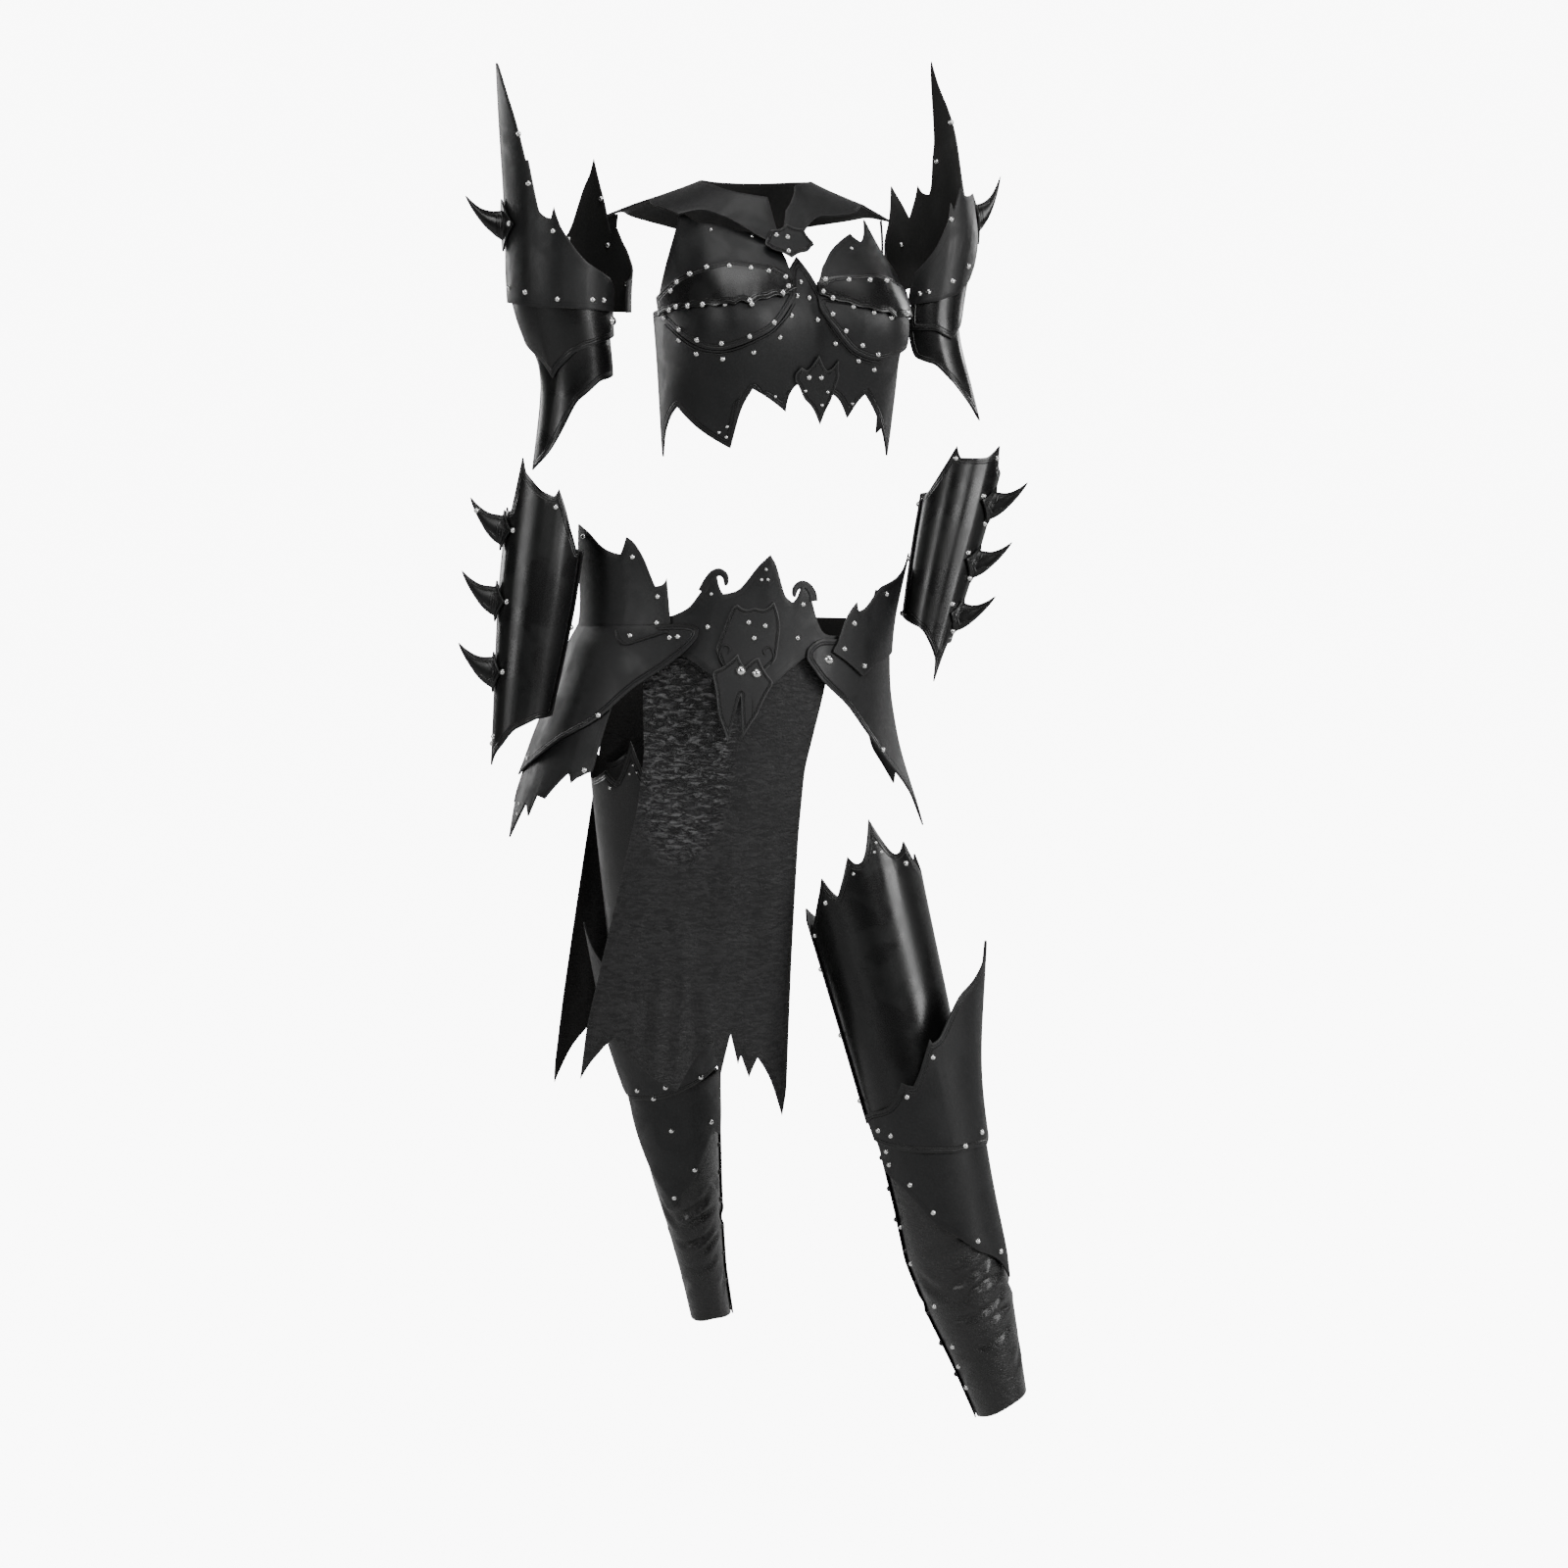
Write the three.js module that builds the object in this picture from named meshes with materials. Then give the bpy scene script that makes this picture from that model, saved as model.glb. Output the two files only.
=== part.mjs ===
// A fantasy leather armour set, worn pose with no wearer: collar, dagged bodice with layered cups,
// two shoulder guards, two spiked bracers, belt with hip plates, tassets and two long cloths,
// and two leg guards of thigh cuff, knee plate, shin plate and soft legging.
// Millimetres, +Z up, the wearer faces -Y. Figure heights are above the wearer's floor, and the
// whole set is moved at the end so that the origin is the middle of the neck opening.

import * as THREE from "three";

// Driving dimensions
const LEATHER = 2.2; // stiff leather, all armour plates
const SOFT_LEATHER = 1.6; // garment leather of the loin cloths and leggings
const GAP = 0.8; // clearance between two layers of leather
const LAYER = LEATHER + GAP; // how far each further layer lies out
const NECK = { x: -32, y: 30, z: 1483 }; // middle of the neck opening
const CHEST_TURN = 18; // degrees that the chest faces to its left of straight ahead
const HIP_TURN = 12;

const FINISH = {
  plate: { color: 0x151515, roughness: 0.45, metalness: 0 },
  polished: { color: 0x0e0e0e, roughness: 0.3, metalness: 0 },
  grained: { color: 0x1a1a1a, roughness: 0.55, metalness: 0 },
  soft: { color: 0x121212, roughness: 0.4, metalness: 0 },
};

const set = new THREE.Group();
const rad = THREE.MathUtils.degToRad;
const lerp = THREE.MathUtils.lerp;

function finish(kind) {
  return new THREE.MeshStandardMaterial({ ...FINISH[kind], name: kind });
}

// A smooth function through one column of a short table, whose rows stand at `key`.
function through(rows, key, column) {
  const stands = rows.map((row) => row[key]);
  const values = rows.map((row) => row[column] ?? 0);
  const curve = new THREE.CubicInterpolant(stands, values, 1);
  return (at) => curve.evaluate(at)[0];
}

// Forms: a form turns degrees round the wearer and millimetres up into a point of the surface
// that a panel is wrapped on. Degrees start at the wearer's front and grow to the wearer's left.

// A form of level sections: each row gives a height, the section's middle and its half sizes.
function standingForm(rows, turn) {
  const front = new THREE.Vector3(Math.sin(rad(turn)), -Math.cos(rad(turn)), 0);
  const left = new THREE.Vector3(Math.cos(rad(turn)), Math.sin(rad(turn)), 0);
  const [x, y, wide, deep] = ["x", "y", "wide", "deep"].map((c) => through(rows, "z", c));
  return (across, up) =>
    new THREE.Vector3(x(up), y(up), up)
      .addScaledVector(left, wide(up) * Math.sin(rad(across)))
      .addScaledVector(front, deep(up) * Math.cos(rad(across)));
}

// A form round a limb: sections square to the line from foot to head, at millimetres up it. A
// section may stand off the line to the wearer's left or to the back.
function limbForm(foot, head, turn, rows) {
  const base = new THREE.Vector3(...foot);
  const along = new THREE.Vector3(...head).sub(base).normalize();
  const front = new THREE.Vector3(Math.sin(rad(turn)), -Math.cos(rad(turn)), 0);
  front.addScaledVector(along, -front.dot(along)).normalize();
  const left = new THREE.Vector3().crossVectors(along, front);
  const columns = ["wide", "deep", "left", "back"];
  const [wide, deep, toLeft, toBack] = columns.map((c) => through(rows, "up", c));
  return (across, up) =>
    base
      .clone()
      .addScaledVector(along, up)
      .addScaledVector(left, toLeft(up) + wide(up) * Math.sin(rad(across)))
      .addScaledVector(front, deep(up) * Math.cos(rad(across)) - toBack(up));
}

// The point `out` millimetres off a form, square to it.
function offForm(form, across, up, out) {
  const d = 0.5;
  const alongAcross = form(across + d, up).sub(form(across - d, up));
  const alongUp = form(across, up + d).sub(form(across, up - d));
  const square = alongAcross.cross(alongUp).normalize();
  return form(across, up).addScaledVector(square, out);
}

// A cut line: rows of where a point of the cut lies (at), how high (up), how deep the scallop to
// the next row bites into the leather (bite), and how far the point leans over (lean).
// inward is -1 for an upper edge, which bites down, and 1 for a lower edge.
function cutLine(rows, inward, scallopSteps) {
  const find = (at) => {
    let i = rows.findLastIndex((row) => row.at <= at);
    i = Math.min(Math.max(i, 0), rows.length - 2);
    const share = (at - rows[i].at) / (rows[i + 1].at - rows[i].at);
    return [rows[i], rows[i + 1], THREE.MathUtils.clamp(share, 0, 1)];
  };
  const spots = rows.flatMap((row, i) => {
    const next = rows[i + 1];
    const steps = next && row.bite ? scallopSteps : 1;
    return Array.from({ length: next ? steps : 1 }, (_, k) =>
      k ? lerp(row.at, next.at, k / steps) : row.at,
    );
  });
  const height = (at) => {
    const [a, b, share] = find(at);
    return lerp(a.up, b.up, share) + inward * (a.bite ?? 0) * Math.sin(Math.PI * share);
  };
  const lean = (at) => {
    const [a, b, share] = find(at);
    return lerp(a.lean ?? 0, b.lean ?? 0, share);
  };
  return { spots, height, lean };
}

// Where the columns of a panel stand: at every point of both cuts, and no further apart than step.
function columnsOf(high, low, step) {
  const least = 0.1 * step;
  const wanted = [...high.spots, ...low.spots].sort((a, b) => a - b);
  const kept = wanted.filter((at, i) => i === 0 || at - wanted[i - 1] > least);
  return kept.flatMap((at, i) => {
    const next = kept[i + 1];
    if (next === undefined) return [at];
    const parts = Math.ceil((next - at) / step);
    return Array.from({ length: parts }, (_, k) => lerp(at, next, k / parts));
  });
}

// Closes a grid of outer points and a grid of inner points into one solid wall.
function wallGeometry(outer, inner, ring) {
  const columns = outer.length;
  const rows = outer[0].length;
  const points = [...outer.flat(), ...inner.flat()];
  const o = (i, j) => (i % columns) * rows + j;
  const n = (i, j) => columns * rows + o(i, j);
  const faces = [];
  const quad = (a, b, c, d) => faces.push(a, b, c, a, c, d);
  const spans = ring ? columns : columns - 1;
  for (let i = 0; i < spans; i++) {
    for (let j = 0; j < rows - 1; j++) {
      quad(o(i, j), o(i + 1, j), o(i + 1, j + 1), o(i, j + 1));
      quad(n(i, j), n(i, j + 1), n(i + 1, j + 1), n(i + 1, j));
    }
    quad(o(i, 0), n(i, 0), n(i + 1, 0), o(i + 1, 0));
    quad(o(i, rows - 1), o(i + 1, rows - 1), n(i + 1, rows - 1), n(i, rows - 1));
  }
  if (!ring) {
    const e = columns - 1;
    for (let j = 0; j < rows - 1; j++) {
      quad(o(0, j), o(0, j + 1), n(0, j + 1), n(0, j));
      quad(o(e, j), n(e, j), n(e, j + 1), o(e, j + 1));
    }
  }
  const geometry = new THREE.BufferGeometry();
  geometry.setAttribute(
    "position",
    new THREE.Float32BufferAttribute(points.flatMap((p) => [p.x, p.y, p.z]), 3),
  );
  geometry.setIndex(faces);
  return geometry;
}

function addMesh(name, geometry, kind) {
  const mesh = new THREE.Mesh(geometry, finish(kind));
  mesh.name = name;
  set.add(mesh);
}

// One cut piece of leather, wrapped on a form. side is 1 for the wearer's left and -1 for the
// right, which mirrors the cut. lift gives extra distance off the form, such as at an overlap,
// and draw gathers the piece toward its middle at some heights.
function panel(name, form, cut) {
  const {
    high,
    low,
    side = 1,
    out = 0,
    thick = LEATHER,
    rows = 3,
    step = 12,
    scallop = 2,
    lift = () => 0,
    draw = () => 1,
    kind = "plate",
  } = cut;
  const top = cutLine(high, -1, scallop);
  const foot = cutLine(low, 1, scallop);
  const stands = columnsOf(top, foot, step);
  const wall = [out + thick, out].map((distance) =>
    stands.map((at) =>
      Array.from({ length: rows + 1 }, (_, j) => {
        const share = j / rows;
        const up = lerp(foot.height(at), top.height(at), share);
        const lean = top.lean(at) * share ** 3 + foot.lean(at) * (1 - share) ** 3;
        const turn = side * (at + lean) * draw(up);
        return offForm(form, turn, up, distance + lift(at, up, share));
      }),
    ),
  );
  const [outer, inner] = side < 0 ? wall.map((grid) => grid.toReversed()) : wall;
  addMesh(name, wallGeometry(outer, inner, false), kind);
}

// A horn of formed leather on a diamond flange that is riveted to a form. rise is the way the
// horn curls, as a share of its length, and thin is its thickness as a share of its width.
function horn(name, form, { across, up, out, side, reach, rise, long, wide, root, kind }) {
  const corners = 8;
  const flange = (scale, distance) =>
    Array.from({ length: corners }, (_, k) => {
      const turn = (2 * Math.PI * k) / corners;
      const pinch = k % 2 ? 0.62 : 1;
      const a = side * across + pinch * scale * wide * Math.cos(turn);
      const b = up + pinch * scale * long * Math.sin(turn);
      return offForm(form, a, b, distance);
    });
  const middle = offForm(form, side * across, up, 0);
  const outward = offForm(form, side * across, up, 1).sub(middle).normalize();
  const upward = form(side * across, up + 1).sub(form(side * across, up)).normalize();
  const sideways = new THREE.Vector3().crossVectors(upward, outward).normalize();
  const rings = [flange(1, out), flange(1, out + LEATHER)];
  for (const share of [0, 0.25, 0.5, 0.75]) {
    const width = root.long * (1 - share) ** 0.85;
    const depth = root.thick * (1 - 0.8 * share);
    const spine = middle
      .clone()
      .addScaledVector(outward, out + LEATHER + reach * share)
      .addScaledVector(upward, rise * share ** 2);
    rings.push(
      Array.from({ length: corners }, (_, k) => {
        const turn = (2 * Math.PI * k) / corners;
        return spine
          .clone()
          .addScaledVector(sideways, depth * Math.cos(turn))
          .addScaledVector(upward, width * Math.sin(turn));
      }),
    );
  }
  const tip = middle
    .clone()
    .addScaledVector(outward, out + LEATHER + reach)
    .addScaledVector(upward, rise);
  const seat = offForm(form, side * across, up, out);
  const points = [...rings.flat(), tip, seat];
  const faces = [];
  rings.slice(1).forEach((_, r) => {
    for (let k = 0; k < corners; k++) {
      const a = r * corners + k;
      const b = r * corners + ((k + 1) % corners);
      faces.push(a, b, b + corners, a, b + corners, a + corners);
    }
  });
  const last = (rings.length - 1) * corners;
  for (let k = 0; k < corners; k++) {
    const next = (k + 1) % corners;
    faces.push(last + k, last + next, points.length - 2);
    faces.push(next, k, points.length - 1);
  }
  const geometry = new THREE.BufferGeometry();
  geometry.setAttribute(
    "position",
    new THREE.Float32BufferAttribute(points.flatMap((p) => [p.x, p.y, p.z]), 3),
  );
  geometry.setIndex(faces);
  addMesh(name, geometry, kind);
}

// Forms of the torso
const torso = standingForm(
  [
    { z: 1130, x: -10, y: 20, wide: 121, deep: 88 },
    { z: 1200, x: -9, y: 20, wide: 127, deep: 90 },
    { z: 1278, x: -8, y: 20, wide: 132, deep: 94 },
    { z: 1335, x: -10, y: 22, wide: 134, deep: 97 },
    { z: 1400, x: -18, y: 26, wide: 134, deep: 88 },
    { z: 1460, x: -26, y: 30, wide: 128, deep: 66 },
  ],
  CHEST_TURN,
);

const CUP = { at: 36, up: 1330, bulge: 50, reach: 66, ring: 118 }; // bust moulded into the bodice

function bust(across, up) {
  const point = torso(across, up);
  for (const side of [-1, 1]) {
    const arc = rad(across - side * CUP.at) * CUP.ring;
    const share = Math.hypot(arc, up - CUP.up) / CUP.reach;
    const ahead = rad(CHEST_TURN + side * 14);
    const push = CUP.bulge * Math.exp(-(share ** 2));
    point.x += push * Math.sin(ahead);
    point.y -= push * Math.cos(ahead);
  }
  return point;
}

const shoulders = standingForm(
  [
    { z: 1370, x: -36, y: 28, wide: 222, deep: 116 },
    { z: 1395, x: -36, y: 29, wide: 212, deep: 111 },
    { z: 1430, x: -35, y: 30, wide: 189, deep: 101 },
    { z: 1450, x: -34, y: 30, wide: 154, deep: 86 },
    { z: 1468, x: -33, y: 30, wide: 105, deep: 72 },
    { z: 1482, x: -32, y: 30, wide: 66, deep: 60 },
    { z: 1500, x: -32, y: 30, wide: 52, deep: 52 },
  ],
  CHEST_TURN,
);

const hips = standingForm(
  [
    { z: 700, x: -88, y: 28, wide: 236, deep: 168 },
    { z: 780, x: -84, y: 28, wide: 221, deep: 160 },
    { z: 860, x: -79, y: 26, wide: 200, deep: 150 },
    { z: 940, x: -66, y: 25, wide: 181, deep: 136 },
    { z: 1000, x: -54, y: 24, wide: 170, deep: 122 },
    { z: 1060, x: -47, y: 23, wide: 177, deep: 115 },
    { z: 1110, x: -45, y: 22, wide: 184, deep: 118 },
  ],
  HIP_TURN,
);

// Forms of the arms: the foot of each line is the hand's end
const upperArmR = limbForm([-248, -40, 1180], [-238, -38, 1420], 20, [
  { up: -60, wide: 42, deep: 46, left: 6 },
  { up: 0, wide: 43, deep: 47, left: 10 },
  { up: 60, wide: 44, deep: 49, left: 19 },
  { up: 100, wide: 46, deep: 52, left: 20 },
  { up: 135, wide: 52, deep: 58, left: 9 },
  { up: 170, wide: 57, deep: 62, left: 1 },
  { up: 240, wide: 60, deep: 66 },
  { up: 330, wide: 68, deep: 72 },
  { up: 430, wide: 80, deep: 84 },
]);
const upperArmL = limbForm([198, 80, 1200], [163, 86, 1430], 20, [
  { up: -60, wide: 38, deep: 42, left: -4 },
  { up: 0, wide: 41, deep: 45, left: -4 },
  { up: 45, wide: 44, deep: 48, left: -12 },
  { up: 95, wide: 46, deep: 51, left: -24 },
  { up: 125, wide: 47, deep: 52, left: -27 },
  { up: 155, wide: 49, deep: 54, left: -22 },
  { up: 190, wide: 51, deep: 56, left: -11 },
  { up: 215, wide: 53, deep: 58, left: -3 },
  { up: 250, wide: 51, deep: 58 },
  { up: 430, wide: 60, deep: 66 },
]);
const forearmR = limbForm([-288, -92, 868], [-253, -64, 1150], 0, [
  { up: -40, wide: 23, deep: 22 },
  { up: 0, wide: 24, deep: 23 },
  { up: 90, wide: 32, deep: 31 },
  { up: 180, wide: 39, deep: 38 },
  { up: 240, wide: 40, deep: 39 },
  { up: 320, wide: 40, deep: 39 },
]);
const forearmL = limbForm([157, 10, 985], [208, 66, 1200], 0, [
  { up: -60, wide: 22, deep: 22 },
  { up: 0, wide: 25, deep: 24 },
  { up: 90, wide: 33, deep: 32 },
  { up: 160, wide: 37, deep: 36 },
  { up: 260, wide: 38, deep: 37 },
]);

// Forms of the legs: the foot of each line is the ankle's or the knee's end
const thighR = limbForm([-128, 104, 440], [-148, 30, 830], 0, [
  { up: -40, wide: 48, deep: 50 },
  { up: 100, wide: 52, deep: 54 },
  { up: 250, wide: 58, deep: 63 },
  { up: 390, wide: 62, deep: 71 },
  { up: 460, wide: 64, deep: 73 },
]);
const thighL = limbForm([156, -88, 440], [84, -24, 720], 12, [
  { up: -60, wide: 49, deep: 52 },
  { up: 60, wide: 52, deep: 55 },
  { up: 180, wide: 57, deep: 62 },
  { up: 290, wide: 62, deep: 70 },
  { up: 400, wide: 65, deep: 74 },
]);
const calfR = limbForm([-84, 150, 170], [-130, 106, 460], 0, [
  { up: -20, wide: 22, deep: 30, left: -1 },
  { up: 40, wide: 23, deep: 33, left: -2 },
  { up: 110, wide: 29, deep: 42, left: -2, back: 4 },
  { up: 180, wide: 38, deep: 52, left: -2, back: 8 },
  { up: 250, wide: 46, deep: 54, back: 4 },
  { up: 320, wide: 53, deep: 57, left: 4 },
  { up: 370, wide: 63, deep: 68, left: 7, back: -9 },
  { up: 430, wide: 65, deep: 76, left: 14, back: -16 },
  { up: 560, wide: 68, deep: 86, left: 28, back: -24 },
]);
const calfL = limbForm([240, -112, 150], [157, -86, 460], 12, [
  { up: -20, wide: 26, deep: 34, left: -1 },
  { up: 40, wide: 33, deep: 42, left: -2, back: 2 },
  { up: 110, wide: 45, deep: 54, left: -4, back: 6 },
  { up: 180, wide: 52, deep: 60, left: -6, back: 10 },
  { up: 250, wide: 52, deep: 58, left: -3, back: 5 },
  { up: 320, wide: 56, deep: 58 },
  { up: 420, wide: 68, deep: 69 },
  { up: 560, wide: 84, deep: 86 },
]);

// Forms of the two long cloths that hang inside the belt
const apron = standingForm(
  [
    { z: 420, x: -122, y: 4, wide: 205, deep: 94 },
    { z: 520, x: -114, y: 6, wide: 204, deep: 98 },
    { z: 700, x: -94, y: 10, wide: 199, deep: 110 },
    { z: 880, x: -72, y: 19, wide: 186, deep: 124 },
    { z: 960, x: -60, y: 24, wide: 176, deep: 126 },
    { z: 1020, x: -52, y: 24, wide: 167, deep: 114 },
  ],
  HIP_TURN,
);
const train = standingForm(
  [
    { z: 420, x: -120, y: 98, wide: 208, deep: 112 },
    { z: 520, x: -110, y: 88, wide: 205, deep: 113 },
    { z: 700, x: -88, y: 64, wide: 196, deep: 118 },
    { z: 880, x: -68, y: 35, wide: 182, deep: 126 },
    { z: 960, x: -60, y: 24, wide: 176, deep: 126 },
    { z: 1020, x: -52, y: 24, wide: 167, deep: 114 },
  ],
  HIP_TURN,
);

// Collar: one piece round the neck, slit at the breastbone, with a wing over each shoulder
panel("collar", shoulders, {
  out: -0.6,
  rows: 3,
  step: 18,
  high: [
    { at: 0.4, up: 1421 },
    { at: 3, up: 1447 },
    { at: 10, up: 1464 },
    { at: 19, up: 1477 },
    { at: 50, up: 1483 },
    { at: 120, up: 1488 },
    { at: 240, up: 1488 },
    { at: 310, up: 1477 },
    { at: 338, up: 1467 },
    { at: 356, up: 1462 },
    { at: 358.9, up: 1421 },
  ],
  low: [
    { at: 0.4, up: 1410 },
    { at: 4, up: 1413, bite: -2 },
    { at: 10, up: 1433, bite: 1 },
    { at: 16, up: 1443 },
    { at: 25, up: 1444, bite: -1 },
    { at: 28.5, up: 1435, bite: 4 },
    { at: 42, up: 1452, bite: 2 },
    { at: 70, up: 1461 },
    { at: 86, up: 1459, bite: 2 },
    { at: 93, up: 1446, bite: 5 },
    { at: 120, up: 1450, bite: 4 },
    { at: 180, up: 1428, bite: 4 },
    { at: 240, up: 1450, bite: 5 },
    { at: 267, up: 1446 },
    { at: 269, up: 1457, bite: 1 },
    { at: 278, up: 1462 },
    { at: 309, up: 1450, bite: 1 },
    { at: 322, up: 1442, bite: 3 },
    { at: 332, up: 1447 },
    { at: 342, up: 1438 },
    { at: 348, up: 1428, bite: -2 },
    { at: 358.9, up: 1411 },
  ],
});

// Bodice: a dagged band under the bust and up the breastbone, closed by a plain band behind
panel("bodice", bust, {
  rows: 3,
  step: 9,
  high: [
    { at: -104, up: 1342 },
    { at: -75, up: 1345, bite: 3 },
    { at: -40, up: 1310, bite: 4 },
    { at: -10, up: 1346, bite: 2 },
    { at: -5, up: 1384 },
    { at: 0, up: 1398 },
    { at: 4, up: 1380, bite: 2 },
    { at: 9, up: 1328, bite: 3 },
    { at: 28, up: 1302, bite: 3 },
    { at: 75, up: 1345 },
    { at: 104, up: 1342 },
  ],
  low: [
    { at: -104, up: 1212 },
    { at: -96, up: 1186, bite: 8 },
    { at: -70, up: 1240, bite: -3 },
    { at: -36, up: 1195, bite: 12 },
    { at: -24.5, up: 1260, bite: 1 },
    { at: -8.8, up: 1234, bite: 3 },
    { at: -7, up: 1263, bite: 2 },
    { at: 14.4, up: 1252, bite: 3 },
    { at: 23, up: 1228, bite: 3 },
    { at: 30.5, up: 1254, bite: 2 },
    { at: 68, up: 1187, bite: 6 },
    { at: 80, up: 1230, bite: 2 },
    { at: 104, up: 1212 },
  ],
});
panel("back_band", bust, {
  out: -LAYER,
  rows: 1,
  high: [
    { at: 95, up: 1312 },
    { at: 265, up: 1312 },
  ],
  low: [
    { at: 95, up: 1266 },
    { at: 265, up: 1266 },
  ],
});

// Cups of three pieces each: a flame-edged top, a lower cup and a ragged band over their joint
panel("cup_upper_r", bust, {
  side: -1,
  out: LAYER + 1.3,
  step: 8,
  high: [
    { at: 5.5, up: 1392, bite: 2 },
    { at: 8.5, up: 1415, bite: 3 },
    { at: 14.8, up: 1415, bite: -1 },
    { at: 21.7, up: 1422, bite: 3, lean: -1 },
    { at: 29, up: 1427 },
    { at: 38, up: 1431, bite: 3, lean: 1 },
    { at: 46, up: 1436 },
    { at: 53.3, up: 1445, bite: 3 },
    { at: 66, up: 1392, bite: 1 },
    { at: 76, up: 1360 },
  ],
  low: [
    { at: 5.5, up: 1364 },
    { at: 13, up: 1375 },
    { at: 31, up: 1379 },
    { at: 57, up: 1368 },
    { at: 76, up: 1351 },
  ],
});
panel("cup_lower_r", bust, {
  side: -1,
  out: LAYER + 0.8,
  step: 8,
  high: [
    { at: 5.5, up: 1362 },
    { at: 17, up: 1356 },
    { at: 52, up: 1351 },
    { at: 76, up: 1347 },
  ],
  low: [
    { at: 5.5, up: 1354, bite: -2 },
    { at: 17, up: 1320, bite: -2 },
    { at: 40, up: 1300, bite: -1 },
    { at: 52, up: 1304, bite: -2 },
    { at: 76, up: 1337 },
  ],
});
panel("cup_band_r", bust, {
  side: -1,
  out: 2 * LAYER + 1.6,
  rows: 2,
  step: 8,
  scallop: 2,
  high: [
    { at: 5, up: 1371 },
    { at: 13, up: 1382 },
    { at: 31, up: 1387 },
    { at: 57, up: 1375 },
    { at: 77, up: 1357 },
  ],
  low: [
    { at: 5, up: 1360, bite: 2 },
    { at: 12, up: 1350, bite: 4 },
    { at: 19, up: 1347, bite: 4 },
    { at: 26, up: 1342, bite: 4 },
    { at: 33, up: 1342, bite: 4 },
    { at: 41, up: 1340, bite: 4 },
    { at: 49, up: 1341, bite: 4 },
    { at: 57, up: 1339, bite: 4 },
    { at: 66, up: 1340, bite: 4 },
    { at: 77, up: 1336 },
  ],
});
panel("cup_upper_l", bust, {
  out: LAYER + 1.3,
  step: 8,
  high: [
    { at: 4.5, up: 1366, bite: 2 },
    { at: 9, up: 1384, bite: 1 },
    { at: 15, up: 1401, bite: -2 },
    { at: 29.5, up: 1422, bite: 2, lean: 1 },
    { at: 35, up: 1413, bite: 6 },
    { at: 46, up: 1440, bite: 4 },
    { at: 50, up: 1398, bite: 2 },
    { at: 76, up: 1357 },
  ],
  low: [
    { at: 4.5, up: 1359 },
    { at: 10, up: 1364 },
    { at: 32, up: 1368 },
    { at: 49, up: 1358 },
    { at: 76, up: 1346 },
  ],
});
panel("cup_lower_l", bust, {
  out: LAYER + 0.8,
  step: 8,
  high: [
    { at: 3.5, up: 1355 },
    { at: 20, up: 1349 },
    { at: 50, up: 1344 },
    { at: 76, up: 1342 },
  ],
  low: [
    { at: 3.5, up: 1339, bite: -2 },
    { at: 16, up: 1301, bite: -1 },
    { at: 28, up: 1291, bite: -1 },
    { at: 52, up: 1304, bite: -2 },
    { at: 76, up: 1333 },
  ],
});
panel("cup_band_l", bust, {
  out: 2 * LAYER + 1.6,
  rows: 2,
  step: 8,
  scallop: 2,
  high: [
    { at: 4, up: 1366 },
    { at: 11, up: 1372 },
    { at: 32, up: 1376 },
    { at: 49, up: 1366 },
    { at: 77, up: 1352 },
  ],
  low: [
    { at: 4, up: 1354, bite: 2 },
    { at: 11, up: 1346, bite: 4 },
    { at: 19, up: 1340, bite: 4 },
    { at: 27, up: 1336, bite: 4 },
    { at: 35, up: 1331, bite: 4 },
    { at: 43, up: 1333, bite: 4 },
    { at: 51, up: 1333, bite: 4 },
    { at: 59, up: 1336, bite: 4 },
    { at: 67, up: 1335, bite: 4 },
    { at: 77, up: 1331 },
  ],
});

// Crests: small thorned plaques where the collar meets the bodice and at its middle
panel("crest_upper", shoulders, {
  out: LAYER - 0.7,
  rows: 2,
  step: 6,
  scallop: 2,
  lift: (at, up) => Math.max(0, 1416 - up) * 0.4,
  high: [
    { at: -5.5, up: 1413, bite: 2 },
    { at: -3.6, up: 1425, bite: 4 },
    { at: 2.4, up: 1433, bite: 4 },
    { at: 7, up: 1427, bite: 3 },
    { at: 9.5, up: 1414 },
  ],
  low: [
    { at: -5.5, up: 1408, bite: 2 },
    { at: -3, up: 1399, bite: 4 },
    { at: 1.8, up: 1393, bite: 4 },
    { at: 7, up: 1400, bite: 2 },
    { at: 9.5, up: 1409 },
  ],
});
panel("crest_lower", bust, {
  out: LAYER,
  rows: 2,
  step: 6,
  scallop: 2,
  high: [
    { at: -6, up: 1276, bite: 4 },
    { at: -5, up: 1290, bite: 4 },
    { at: -1, up: 1279, bite: 3 },
    { at: 3.5, up: 1295, bite: 3 },
    { at: 8, up: 1279, bite: 4 },
    { at: 12, up: 1290, bite: 4 },
    { at: 13.5, up: 1276 },
  ],
  low: [
    { at: -6, up: 1268, bite: 4 },
    { at: -1, up: 1248, bite: 5 },
    { at: 8, up: 1221, bite: 5 },
    { at: 12, up: 1246, bite: 4 },
    { at: 13.5, up: 1268 },
  ],
});

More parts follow.
